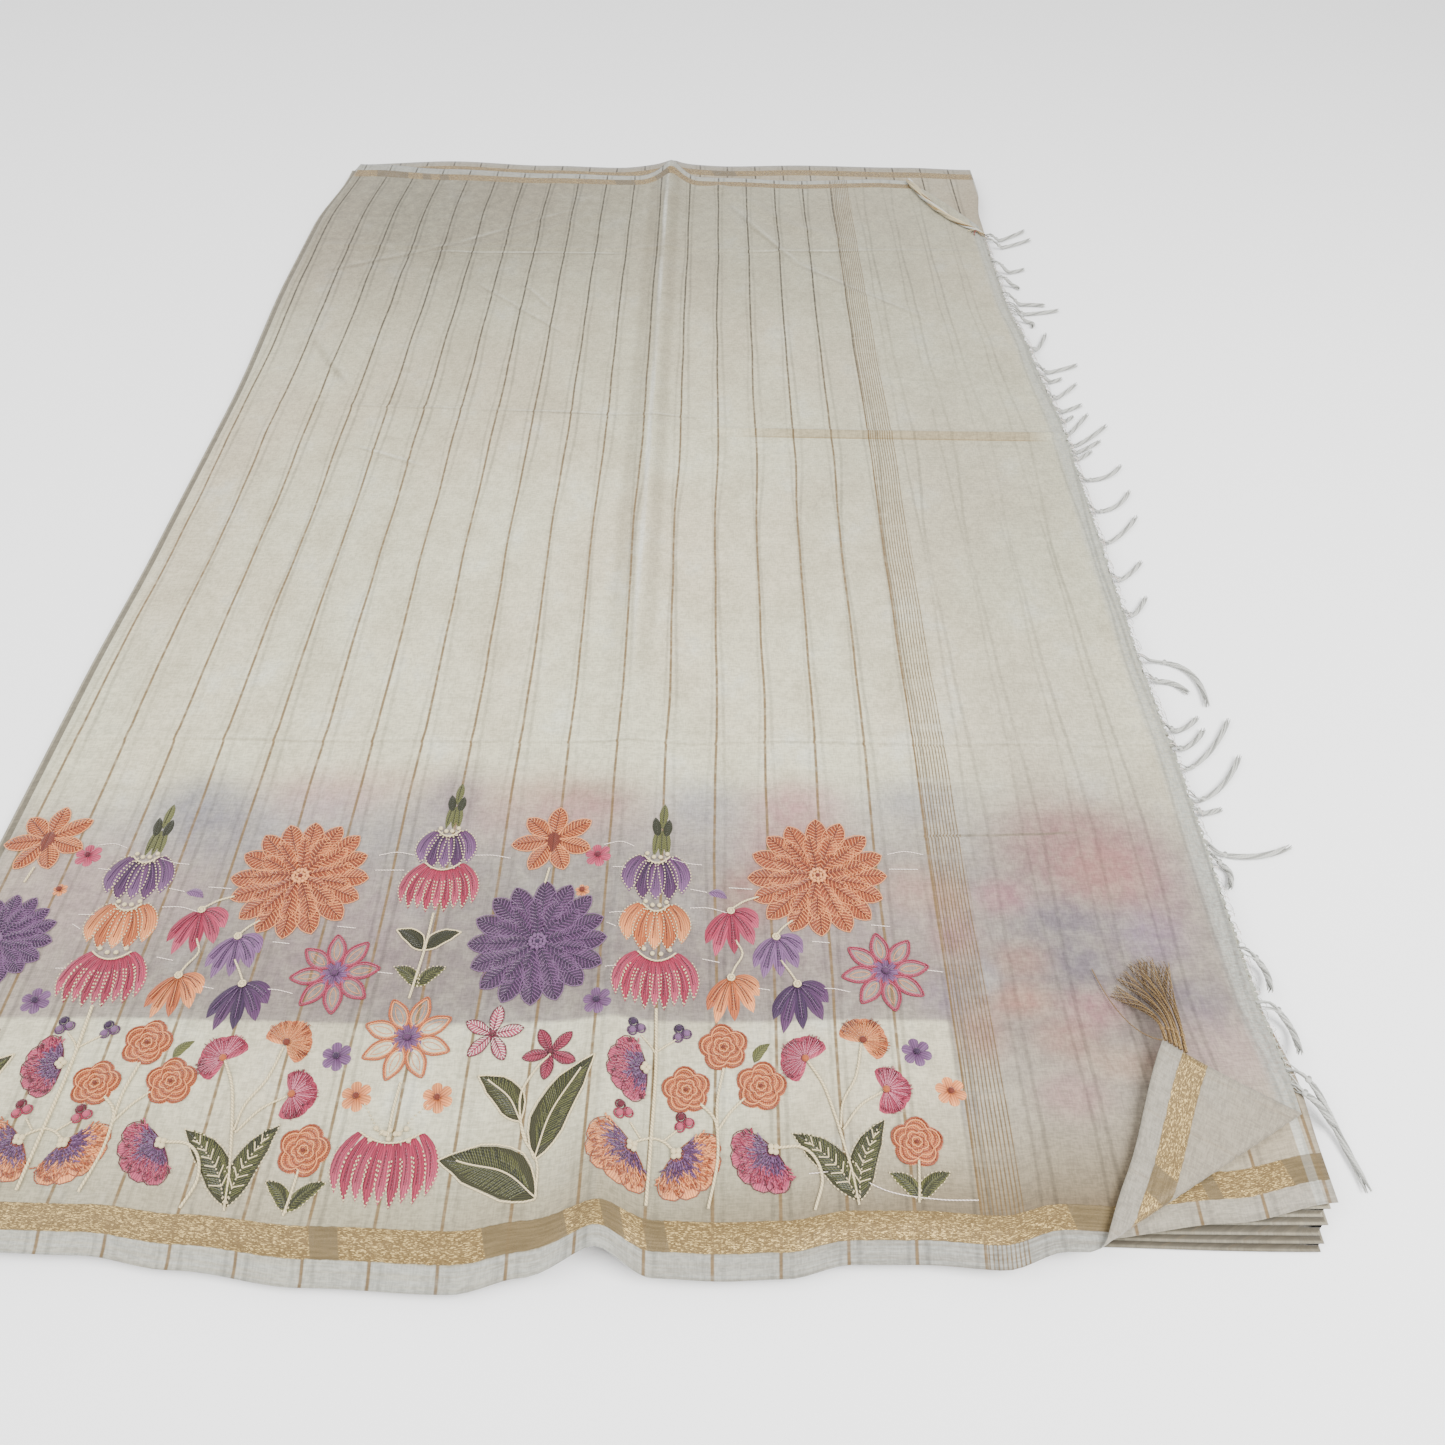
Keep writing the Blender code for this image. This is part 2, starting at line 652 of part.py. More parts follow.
def build_top():
    """The upper stretch, from the left fold to the free end, with its corner turned up."""
    distances = [math.pi * TURN_RADIUS * k / TURN_STEPS for k in range(TURN_STEPS + 1)]
    near_stops = [turn_stop(NEAR_V, 0.15, FREE_END_U, away, True) for away in distances]
    free_stops = [turn_stop(FREE_END_U, NEAR_V, -0.42, away, False) for away in distances]
    quarter = ROLL_RADIUS * math.pi / 2
    roll = [LEFT_U] + [ROLL_U - quarter * (1 - k / ROLL_STEPS) for k in range(ROLL_STEPS + 1)]
    roll += FLAT_COLUMNS
    rows = steps_between(NEAR_V, FAR_V, GRID_V)
    near = roll[:-1] + steps_between(roll[-1], near_stops[0], EDGE_STEP)
    near += near_stops[1:] + steps_between(near_stops[-1], FREE_END_U, EDGE_STEP)[1:]
    free = steps_between(NEAR_V, free_stops[-1], EDGE_STEP)[1:] + free_stops[-2::-1]
    free += steps_between(free_stops[0], TWIST_END[1], FREE_END_STEP)[1:]
    far = steps_between(TWIST_START[0], roll[-1], EDGE_STEP)[:-1] + roll[::-1]
    outline = [(u, NEAR_V) for u in near]
    outline += [(FREE_END_U, v) for v in free]
    for t in (0.25, 0.5, 0.75):
        outline.append(tuple(Vector(TWIST_END).lerp(Vector(TWIST_START), t)))
    outline += [(u, FAR_V) for u in far]
    outline += [(LEFT_U, v) for v in rows[-2:0:-1]]
    lines = [[(u, v) for v in rows] for u in roll[1:]]
    for near_stop, free_stop in zip(near_stops, free_stops):
        shares = [k / TURN_PIECES for k in range(TURN_PIECES + 1)]
        lines.append([
            (near_stop + (FREE_END_U - near_stop) * t, NEAR_V + (free_stop - NEAR_V) * t) for t in shares
        ])
    lines += crease_lines(outline)
    lines += ridge_lines(outline, BORDER_TOP, FAR_V)
    edge_rows = [(u, NEAR_V + row) for u in near for row in EDGE_ROWS]
    edge_rows += [(u, FAR_V - row) for u in far for row in EDGE_ROWS[1::2]]
    in_border = [point for line in ridge_lines(outline, NEAR_V, BORDER_TOP) for point in line]
    grid = [(u, v) for u in steps_between(roll[-1], FREE_END_U, GRID_U) for v in rows]
    loose = [point for point in edge_rows + in_border + grid if past_turn(*pulled(*point)) < -2 * TURN_RADIUS]
    for u in steps_between(TURN_X, FREE_END_U, FLAP_STEP):
        for v in steps_between(NEAR_V, TURN_TOP_V, FLAP_STEP):
            if past_turn(*pulled(u, v)) > math.pi * TURN_RADIUS + POINT_CLEAR:
                loose.append((u, v))
    fill = fill_points(outline, lines, loose)
    cloth = finish_material("cream cotton silk", (0.60, 0.58, 0.50), 0.75)
    return build_wall("top_stretch", outline, fill, lines, motif_rings(), top_middle, cloth)


def build_second():
    """The stretch under the upper one, from the left fold to its own folded edge."""
    corners = [(u * MM, v * MM) for u, v in SECOND_NEAR]
    corners += [(u * MM, v * MM) for v, u in SECOND_RIGHT]
    corners += [(u * MM, v * MM) for u, v in SECOND_FAR]
    outline = []
    for (u0, v0), (u1, v1) in zip(corners, corners[1:] + corners[:1]):
        stops = steps_between(0, 1, GRID_V / math.hypot(u1 - u0, v1 - v0))[:-1]
        outline += [(u0 + (u1 - u0) * t, v0 + (v1 - v0) * t) for t in stops]
    rows = steps_between(NEAR_V, SECOND_FAR[0][1] * MM, GRID_V)
    lines = [run for u in FLAT_COLUMNS for run in clipped([(u, v) for v in rows], outline, POINT_CLEAR)]
    lines += ridge_lines(outline, NEAR_V, SECOND_FAR[0][1] * MM)
    grid = [(u, v) for u in steps_between(FLAT_COLUMNS[-1], FREE_END_U, SECOND_GRID_U) for v in rows]
    fill = fill_points(outline, lines, grid)
    cloth = finish_material("cream cotton silk, second stretch", (0.55, 0.53, 0.46), 0.78)
    return build_wall("second_stretch", outline, fill, lines, [], second_middle, cloth)


def pile_ring(edges, height, inset):
    """One closed ring round the pile at a height, moved in by inset."""
    row = dict(zip(LAYER_COLUMNS, (value * MM for value in edges)))
    rise = height - (TOP_Z - ROLL_RADIUS)
    inner = ROLL_RADIUS - WALL / 2 - 2 * LAYER_GAP
    left = ROLL_U - math.sqrt(inner ** 2 - max(rise, 0.0) ** 2)
    shares = [k / PILE_STOPS for k in range(PILE_STOPS)]
    ring = []
    for t in shares:
        y = row["near_left"] + (row["near_right"] - row["near_left"]) * ease((t - 0.5) * 2) + inset
        ring.append((left + (row["right_near"] - left) * t, y))
    for t in shares:
        x = row["right_near"] + (row["right_far"] - row["right_near"]) * ease(t) - inset
        ring.append((x, row["near_right"] + (row["far_right"] - row["near_right"]) * t))
    for t in shares:
        y = row["far_right"] + (row["far_left"] - row["far_right"]) * ease(t) - inset
        ring.append((row["right_far"] + (left - row["right_far"]) * t, y))
    for t in shares:
        ring.append((left + inset / 2, row["far_left"] + (row["near_left"] - row["far_left"]) * t))
    low = (left + inset / 2, row["near_right"] + inset)
    high = (row["right_near"] - inset, row["far_left"] - inset)
    points = []
    for x, y in ring:
        x = min(max(x, low[0]), high[0])
        y = min(max(y, low[1]), high[1])
        points.append((x + left_pull(x, y), y, height))
    return points


def build_pile():
    """The hidden layers as one solid whose sides step in and out, layer by layer."""
    bm = bmesh.new()
    rings = []
    for layer, edges in enumerate(LAYER_EDGES):
        base = layer * LAYER_HEIGHT
        if layer == 0:
            rings.append(pile_ring(edges, base, FLOOR_ROUND))
        rings.append(pile_ring(edges, base + LAYER_HEIGHT / 2, 0.0))
        rings.append(pile_ring(edges, base + LAYER_HEIGHT, GROOVE))
    made = [[bm.verts.new(point) for point in ring] for ring in rings]
    for lower, upper in zip(made, made[1:]):
        for k in range(len(lower)):
            after = (k + 1) % len(lower)
            bm.faces.new((lower[k], lower[after], upper[after], upper[k]))
    bm.faces.new(made[0][::-1])
    bm.faces.new(made[-1])
    cloth = finish_material("cream cotton silk, hidden layers", (0.52, 0.50, 0.43), 0.8)
    return make_object("hidden_layers", bm, cloth)


def off_pile(here, _):
    """Share of a fringe strand's fall to the floor, which starts past the second stretch's edge."""
    return ease((here.x - along(SECOND_RIGHT, here.y) - 3 * STRAND_RADIUS) / STRAND_FALL)


def onto_cloth(_, t):
    """Share of a gold thread's fall from the turned corner to the cloth."""
    return ease((t - GOLD_FALL_START) / (1 - GOLD_FALL_START))


def add_strand(bm, root, stops, radius, rest, fall, knot):
    """A four-sided strand grown from a root face along its stops, down to its rest."""
    ring = list(root)
    centre = sum((corner.co for corner in ring), Vector()) / 4
    route = [centre] + [Vector(stop) for stop in stops]
    for step in range(1, STRAND_STEPS + 1):
        t = step / STRAND_STEPS
        here = bezier(route, t)
        ahead = (bezier(route, min(t + LOOK, 1.0)) - bezier(route, t - LOOK)).normalized()
        side = ahead.cross(Vector((0, 0, 1))).normalized()
        up = side.cross(ahead).normalized()
        size = radius * (KNOT_SWELL if knot and step == KNOT_PLACE else 1 - STRAND_TAPER * t)
        share = fall(here, t)
        here.z = centre.z * (1 - share) + rest * share + STRAND_ARCH * ease(4 * t) * (1 - share)
        corners = [here + side * a * size + up * b * size for a, b in ((-1, -1), (-1, 1), (1, 1), (1, -1))]
        fresh = [bm.verts.new(corner) for corner in corners]
        fresh = nearest_turn(ring, fresh)
        for k in range(4):
            after = (k + 1) % 4
            bm.faces.new((ring[k], ring[after], fresh[after], fresh[k]))
        ring = fresh
    bm.faces.new(ring)


def nearest_turn(ring, fresh):
    """The fresh corners in the order that twists the strand least."""
    best = min(
        (fresh[k:] + fresh[:k] for k in range(4)),
        key=lambda order: sum((a.co - b.co).length for a, b in zip(ring, order)),
    )
    other = fresh[::-1]
    best_other = min(
        (other[k:] + other[:k] for k in range(4)),
        key=lambda order: sum((a.co - b.co).length for a, b in zip(ring, order)),
    )
    return min((best, best_other), key=lambda order: sum((a.co - b.co).length for a, b in zip(ring, order)))


def bezier(route, t):
    """A point of the smooth curve from the first stop past the second to the third."""
    start, way, end = route
    return start * (1 - t) ** 2 + way * 2 * t * (1 - t) + end * t * t


def build_fringe(name, strands, root, radius, rest, fall, knot, material):
    """A narrow strip just off the cloth's end, with its strands grown from it."""
    bm = bmesh.new()
    stations = []
    for row in strands:
        start = row[0] * MM - root / 2
        if stations:
            stations += [(v, None) for v in steps_between(stations[-1][0], start, FREE_END_STEP)[1:-1]]
        stations += [(start, row), (start + root, None)]
    inner_u = FREE_END_U + SEAM_GAP
    rings = []
    for v, _ in stations:
        corners = []
        for u, sign in ((inner_u, -1), (inner_u, 1), (inner_u + STRIP, 1), (inner_u + STRIP, -1)):
            corners.append(bm.verts.new(off_surface(top_middle, u, v, sign * WALL / 2)))
        rings.append(corners)
    for (before, after), (_, row) in zip(zip(rings, rings[1:]), stations):
        for k in range(4):
            ahead = (k + 1) % 4
            if k == 2 and row:
                continue
            bm.faces.new((before[k], before[ahead], after[ahead], after[k]))
        if row:
            foot = (before[2], before[3], after[3], after[2])
            stops = [(row[1] * MM, row[2] * MM, 0.0), (row[3] * MM, row[4] * MM, 0.0)]
            add_strand(bm, foot, stops, radius, rest, fall, knot)
    bm.faces.new(rings[0][::-1])
    bm.faces.new(rings[-1])
    bmesh.ops.recalc_face_normals(bm, faces=bm.faces)
    return make_object(name, bm, material)


def build_twist():
    """The far corner of the free end, pulled in and twisted like a rope."""
    bm = bmesh.new()
    route = [Vector((x * MM, y * MM, 0.0)) for x, y, _ in TWIST_ROUTE]
    radii = [row[2] * MM for row in TWIST_ROUTE]
    rings = []
    for step in range(TWIST_STEPS + 1):
        place = step / TWIST_STEPS * (len(route) - 1)
        index = min(int(place), len(route) - 2)
        share = place - index
        centre = route[index].lerp(route[index + 1], share)
        radius = radii[index] + (radii[index + 1] - radii[index]) * share
        ahead = (route[index + 1] - route[index]).normalized()
        side = Vector((ahead.y, -ahead.x, 0.0))
        centre.z = TOP_Z + WALL / 2 + TWIST_LIFT + radius
        ring = []
        for corner in range(TWIST_SIDES):
            angle = 2 * math.pi * (corner / TWIST_SIDES + TWIST_TURNS * step / TWIST_STEPS)
            bulge = radius * (1.0 if corner % 3 else TWIST_PINCH)
            out = side * bulge * math.cos(angle) + Vector((0, 0, bulge * math.sin(angle)))
            ring.append(bm.verts.new(centre + out))
        rings.append(ring)
    for before, after in zip(rings, rings[1:]):
        for k in range(TWIST_SIDES):
            ahead = (k + 1) % TWIST_SIDES
            bm.faces.new((before[k], before[ahead], after[ahead], after[k]))
    bm.faces.new(rings[0][::-1])
    bm.faces.new(rings[-1])
    bmesh.ops.recalc_face_normals(bm, faces=bm.faces)
    cloth = finish_material("twisted cotton silk", (0.58, 0.55, 0.46), 0.7)
    return make_object("twisted_corner", bm, cloth)


clear_scene()
build_pile()
build_second()
build_top()
thread = finish_material("off-white fringe thread", (0.62, 0.62, 0.60), 0.85)
build_fringe("free_end_fringe", STRANDS, STRAND_ROOT, STRAND_RADIUS, STRAND_REST, off_pile, True, thread)
gold = finish_material("gold border thread", (0.48, 0.36, 0.19), 0.4, 0.6)
build_fringe("corner_threads", GOLD_THREADS, GOLD_ROOT, GOLD_RADIUS, GOLD_REST, onto_cloth, False, gold)
build_twist()
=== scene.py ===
"""The looks of a sheer cream sari, folded and laid flat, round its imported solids.

A flat position (u, v) is a place on the upper cloth before it is pulled out of true:
u runs across to the free end and v from the near border to the far one, in metres.
"""
import math
import random

import bpy
import numpy as np
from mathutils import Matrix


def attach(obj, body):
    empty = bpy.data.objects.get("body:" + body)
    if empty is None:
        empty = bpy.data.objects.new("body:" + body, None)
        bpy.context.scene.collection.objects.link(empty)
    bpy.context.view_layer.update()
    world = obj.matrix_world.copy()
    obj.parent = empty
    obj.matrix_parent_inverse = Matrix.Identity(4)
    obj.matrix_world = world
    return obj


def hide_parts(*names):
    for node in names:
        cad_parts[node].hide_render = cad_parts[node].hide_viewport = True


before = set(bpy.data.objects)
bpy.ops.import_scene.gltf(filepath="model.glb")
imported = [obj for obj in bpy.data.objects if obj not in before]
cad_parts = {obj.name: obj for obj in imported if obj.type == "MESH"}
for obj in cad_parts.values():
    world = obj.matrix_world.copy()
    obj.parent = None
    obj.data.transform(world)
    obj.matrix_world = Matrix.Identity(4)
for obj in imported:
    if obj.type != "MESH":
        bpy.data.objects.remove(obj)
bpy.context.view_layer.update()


# The hidden layers
# The sari is folded lengthways in eight. Six of its thicknesses lie under the two that show,
# and only their edges are seen, a little apart from each other at the near right corner.

MM = 0.001
NEAR_V = -0.5725
FAR_V = 0.5450
FOLD_U = -0.3665
FREE_END_U = 0.3205
WALL = 1.0 * MM
LAYER_GAP = 0.5 * MM
LAYER_HEIGHT = 1.65 * MM
LAYER_COLUMNS = ("near_left", "near_right", "right_near", "right_far", "far_left", "far_right")
LAYER_EDGES = (
    (-549, -559, 317, 307, 557, 545),
    (-547, -556, 319, 311, 553, 540),
    (-548, -553, 318, 305, 559, 547),
    (-545, -549, 322, 310, 554, 542),
    (-546, -546, 320, 306, 560, 549),
    (-543, -543, 324, 309, 556, 545),
)
# Height in a layer and inset from its edge, for the folded edges of its sheets
LAYER_PROFILE = (
    (0.06, 1.3), (0.16, 0.45), (0.3, 0.12), (0.44, 0.5), (0.5, 0.95), (0.58, 0.4), (0.7, 0.0),
    (0.84, 0.4), (0.95, 1.3),
)
PILE_TOP = len(LAYER_EDGES) * LAYER_HEIGHT
SECOND_Z = PILE_TOP + LAYER_GAP + WALL / 2
TOP_Z = SECOND_Z + WALL + LAYER_GAP
ROLL_RADIUS = TOP_Z - 2.2 * MM
ROLL_U = FOLD_U + ROLL_RADIUS
LEFT_PULL = ((-572, -2), (-217, -2), (-80, 1), (107, 2), (320, -5), (430, -5), (545, 6))
PULL_REACH = 75 * MM
PILE_STOPS = 60
EDGE_WAVE = 0.5 * MM
# How far the lowest layer's flat map lies to the left, and each next one further
PILE_SHIFT = 111.8 * MM
LAYER_SHIFT = 7 * MM
STRIPE_U = 164.5 * MM
STRIPE_STEP = 30 * MM
STRIPE_BROWN = (166, 148, 116)
# Share of the stripes on cloth where they hardly show
FAINT_FIELD = 0.15
CREAM = (224, 222, 206)
WARM_CREAM = (222, 216, 200)
CLOTH_ROUGHNESS = 0.72
# How much darker the view shows middle tones than they are
VIEW_DARKENING = 2.1


def ease(t):
    """A smooth rise from 0 to 1."""
    t = np.clip(t, 0.0, 1.0)
    return t * t * (3 - 2 * t)


def along(rows, place):
    """A table's value at places in metres, eased between its rows in millimetres."""
    stops, values = np.array(rows, float).T * MM
    place = np.asarray(place, float)
    at = np.clip(np.searchsorted(stops, place) - 1, 0, len(stops) - 2)
    share = ease((place - stops[at]) / (stops[at + 1] - stops[at]))
    return values[at] + (values[at + 1] - values[at]) * share


def left_pull(u, v):
    """How far the left fold's bow moves a place."""
    return along(LEFT_PULL, v) * np.exp(-np.maximum(u - ROLL_U, 0.0) / PULL_REACH)


def dye(red, green, blue, alpha=1.0):
    """A base colour from the 0 to 255 values that it shows in this light."""
    linear = []
    for value in (red, green, blue):
        value = (value / 255) ** VIEW_DARKENING
        linear.append(value / 12.92 if value <= 0.04045 else ((value + 0.055) / 1.055) ** 2.4)
    return (*linear, alpha)


class NodeTree:
    """A node tree, with short ways to add sums, soft steps, mixes and noise to it."""

    def __init__(self, tree):
        self.tree = tree

    def feed(self, socket, value):
        """Join a socket to another one, or give it a plain value."""
        if isinstance(value, bpy.types.NodeSocket):
            self.tree.links.new(value, socket)
        else:
            socket.default_value = value

    def add(self, kind, inputs=(), **settings):
        """Add a node with its settings, and feed its inputs, given by name or number."""
        node = self.tree.nodes.new(kind)
        for key, value in settings.items():
            setattr(node, key, value)
        for key, value in dict(inputs).items():
            self.feed(node.inputs[key], value)
        return node

    def calc(self, operation, *terms):
        """One sum on plain values or sockets."""
        return self.add("ShaderNodeMath", enumerate(terms), operation=operation).outputs[0]

    def times(self, first, *others):
        """The product of plain values or sockets."""
        for other in others:
            first = self.calc("MULTIPLY", first, other)
        return first

    def step(self, value, low, high, bottom=0.0, top=1.0):
        """From bottom where value is under low to top where it is over high."""
        sockets = {"Value": value, "From Min": low, "From Max": high, "To Min": bottom, "To Max": top}
        return self.add("ShaderNodeMapRange", sockets, interpolation_type="SMOOTHSTEP").outputs["Result"]

    def between(self, value, low, high, blur):
        """1 where value lies between low and high, 0 outside, with soft ends."""
        rise = self.step(value, low - blur / 2, low + blur / 2)
        fall = self.step(value, high - blur / 2, high + blur / 2, 1.0, 0.0)
        return self.times(rise, fall)

    def blend(self, share, first, second):
        """Mix two colours."""
        return self.add("ShaderNodeMix", {0: share, 6: first, 7: second}, data_type="RGBA").outputs[2]

    def scaled(self, vector, factor):
        """A vector or colour times a factor."""
        return self.add("ShaderNodeVectorMath", {0: vector, 3: factor}, operation="SCALE").outputs[0]

    def parts(self, vector):
        """A vector's three parts."""
        return self.add("ShaderNodeSeparateXYZ", {0: vector}).outputs

    def noise(self, place, grains, detail=2.0, rough=0.5):
        """Noise over places, with so many grains per metre along u, v and, where given, z."""
        grains = (*grains, 1.0)[:3]
        spread = self.add("ShaderNodeVectorMath", {0: place, 1: grains}, operation="MULTIPLY").outputs[0]
        sockets = {"Vector": spread, "Scale": 1.0, "Detail": detail, "Roughness": rough}
        return self.add("ShaderNodeTexNoise", sockets).outputs[0]


class Finish(NodeTree):
    """A new material's node tree, with its shader."""

    def __init__(self, name, roughness, specular=0.3, **sockets):
        self.material = bpy.data.materials.new(name)
        self.material.use_nodes = True
        super().__init__(self.material.node_tree)
        self.shader = self.tree.nodes["Principled BSDF"]
        self.give("Roughness", roughness)
        self.give("Specular IOR Level", specular)
        for key, value in sockets.items():
            self.give(key.replace("_", " "), value)

    def give(self, socket, value):
        """Feed one of the shader's sockets."""
        self.feed(self.shader.inputs[socket], value)

    def end(self, colour, height, strength, distance):
        """Give the shader its colour and its bumps, and hand over the material."""
        self.give("Base Color", colour)
        bump = self.add("ShaderNodeBump", {"Strength": strength, "Distance": distance, "Height": height})
        self.give("Normal", bump.outputs[0])
        return self.material


class Cloth(Finish):
    """Sheer slubbed cotton silk on its flat UV map. Its colour is built up mark by mark."""

    def __init__(self, name, tint, tint_share):
        super().__init__(name, CLOTH_ROUGHNESS, 0.25, Sheen_Weight=0.15, Sheen_Roughness=0.5)
        self.flat = self.add("ShaderNodeUVMap", uv_map="flat").outputs[0]
        self.u, self.v = self.parts(self.flat)[:2]
        self.from_near = self.calc("SUBTRACT", self.v, NEAR_V)
        self.from_far = self.calc("SUBTRACT", FAR_V, self.v)
        broad, cloud = self.grains(7, 5, 3.0), self.grains(24, 17, 5.0, 0.62)
        self.colour = self.blend(self.step(broad, 0.38, 0.66), dye(*CREAM), dye(*WARM_CREAM))
        self.mark(self.step(cloud, 0.42, 0.68, 0.0, 0.5), (204, 198, 180))
        self.mark(self.step(cloud, 0.3, 0.46, 0.45, 0.0), (228, 230, 224))
        self.mark(tint_share, tint)
        # The warp wanders, so the stripes follow a u that is bent by noise
        wander, bow = self.grains(30, 14, 1.0), self.grains(2.6, 6, 1.0)
        self.warp_u = self.calc("MULTIPLY_ADD", wander, 1.6 * MM, self.calc("SUBTRACT", self.u, 0.8 * MM))
        self.warp_u = self.calc("MULTIPLY_ADD", bow, 6 * MM, self.calc("SUBTRACT", self.warp_u, 3 * MM))
        # Share of the band's gold lines, which only the upper stretch has
        self.lines = 0.0

    def grains(self, across, lengthways, detail=2.0, rough=0.5):
        """Noise over the flat cloth."""
        return self.noise(self.flat, (across, lengthways), detail, rough)

    def mark(self, share, colour):
        """Lay a colour over the cloth's own by a share."""
        if isinstance(colour, tuple):
            colour = dye(*colour)
        self.colour = self.blend(share, self.colour, colour)

    def finished(self):
        """The material, once its colour and height are whole."""
        return self.end(self.colour, self.height, 0.55, 0.35 * MM)


def shade_by_height(cloth):
    """Painted shade, darker low in the pile and in the grooves between its layers."""
    rise = cloth.parts(cloth.add("ShaderNodeTexCoord").outputs["Object"])[2]
    turn = cloth.calc("ABSOLUTE", cloth.calc("SINE", cloth.times(rise, 2 * math.pi / LAYER_HEIGHT)))
    cloth.mark(cloth.step(rise, 0.0, PILE_TOP, 0.6, 0.15), (128, 119, 103))
    cloth.mark(cloth.step(turn, 0.1, 0.7, 0.75, 0.0), (118, 109, 94))


def stripe_share(cloth, offset, half_width, blur, wave):
    """Share of the line nearest to u, with one line in each stripe step."""
    drift = cloth.grains(0.6, 4, 1.0)
    place = cloth.calc("MULTIPLY_ADD", drift, wave, cloth.warp_u)
    turns = cloth.calc("DIVIDE", cloth.calc("SUBTRACT", place, STRIPE_U + offset), STRIPE_STEP)
    turns = cloth.calc("FRACT", cloth.calc("ADD", turns, 40.5))
    away = cloth.calc("ABSOLUTE", cloth.calc("SUBTRACT", turns, 0.5))
    return cloth.step(away, half_width / STRIPE_STEP, (half_width + blur) / STRIPE_STEP, 1.0, 0.0)


def weave_stripes(cloth, ghosts, field=1.0):
    """Brown warp stripes, and the stripes of the layers below as faint shadows."""
    ghostly = cloth.step(cloth.grains(9, 5), 0.36, 0.62, 0.4, 1.0)
    faint = cloth.times(stripe_share(cloth, 11.5 * MM, 0.3 * MM, 1.5 * MM, 14 * MM), 0.7 * ghosts, ghostly)
    fainter = cloth.times(stripe_share(cloth, 20.5 * MM, 0.2 * MM, 1.3 * MM, -12 * MM), 0.6 * ghosts, ghostly)
    darker = cloth.calc("MULTIPLY_ADD", cloth.calc("MAXIMUM", faint, fainter), -0.42, 1.0)
    cloth.colour = cloth.scaled(cloth.colour, darker)
    cloth.breaks = cloth.step(cloth.grains(20, 160), 0.3, 0.55, 0.72, 1.0)
    cloth.stripes = cloth.times(stripe_share(cloth, 0.0, 0.45 * MM, 0.7 * MM, 0.0), field, cloth.breaks)
    brown = cloth.blend(cloth.step(cloth.v, -0.1, 0.3), dye(*STRIPE_BROWN), dye(116, 107, 86))
    cloth.mark(cloth.times(cloth.stripes, 0.92), brown)


def weave_grain(cloth):
    """Uneven weft, warp and slubs with a fine crinkle, as shade and as height."""
    slub, crinkle = cloth.grains(34, 500, 1.0), cloth.grains(150, 110, 3.0, 0.6)
    grain = cloth.calc("ADD", cloth.grains(260, 1500, 1.0), cloth.grains(1300, 220, 1.0))
    grain = cloth.calc("ADD", grain, cloth.times(slub, 0.5))
    fibres = cloth.grains(300, 620, 2.0, 0.7)
    grain = cloth.calc("MULTIPLY_ADD", fibres, 1.2, cloth.calc("SUBTRACT", grain, 0.6))
    shade = cloth.step(cloth.calc("MULTIPLY_ADD", crinkle, 0.9, grain), 1.25, 2.15, 0.77, 1.12)
    cloth.colour = cloth.scaled(cloth.colour, shade)
    cloth.height = cloth.calc("MULTIPLY_ADD", crinkle, 2.4, cloth.times(grain, 0.3))


def make_piece(name, points, faces, material, flat=None, smooth=True):
    """A mesh object from points and faces, with its flat places as a UV map."""
    mesh = bpy.data.meshes.new(name)
    mesh.from_pydata([tuple(point) for point in points], [], faces)
    if flat is not None:
        corners = np.empty(len(mesh.loops), dtype=np.int32)
        mesh.loops.foreach_get("vertex_index", corners)
        layer = mesh.uv_layers.new(name="flat")
        layer.data.foreach_set("uv", np.asarray(flat, dtype=np.float32)[corners].ravel())
    if smooth:
        mesh.shade_smooth()
    mesh.materials.append(material)
    piece = bpy.data.objects.new(name, mesh)
    bpy.context.scene.collection.objects.link(piece)
    return piece


def part_way(first, last, share):
    """A number between two others, at a share of the way."""
    return first + (last - first) * share


def pile_ring(row, height, inset, layer):
    """One closed ring round the pile at a height, and the flat places along it."""
    rise = height - (TOP_Z - ROLL_RADIUS)
    inner = ROLL_RADIUS - WALL / 2 - 2 * LAYER_GAP
    left = ROLL_U - math.sqrt(inner ** 2 - max(rise, 0.0) ** 2)
    ring, flat = [], []
    for side in range(4):
        for k in range(PILE_STOPS):
            t = k / PILE_STOPS
            wave = EDGE_WAVE * math.sin(t * 23 + layer * 2.4 + side) * math.sin(math.pi * t)
            if side == 0:
                x = part_way(left, row["right_near"], t)
                y = part_way(row["near_left"], row["near_right"], ease((t - 0.5) * 2)) + inset + wave
                place = (x - PILE_SHIFT - LAYER_SHIFT * layer, NEAR_V + 5 * MM)
            elif side == 1:
                x = part_way(row["right_near"], row["right_far"], ease(t)) - inset + wave
                y = part_way(row["near_right"], row["far_right"], t)
                place = (0.3, y)
            elif side == 2:
                x = part_way(row["right_far"], left, t)
                y = part_way(row["far_right"], row["far_left"], ease(t)) - inset + wave
                place = (x, FAR_V - 5 * MM)
            else:
                x = left + inset / 2
                y = part_way(row["far_left"], row["near_left"], t)
                place = (FOLD_U, y)
            x = min(max(x, left + inset / 2), row["right_near"] - inset)
            y = min(max(y, row["near_right"] + inset), row["far_left"] - inset)
            ring.append((x + float(left_pull(x, y)), y, height))
            flat.append(place)
    return ring, flat


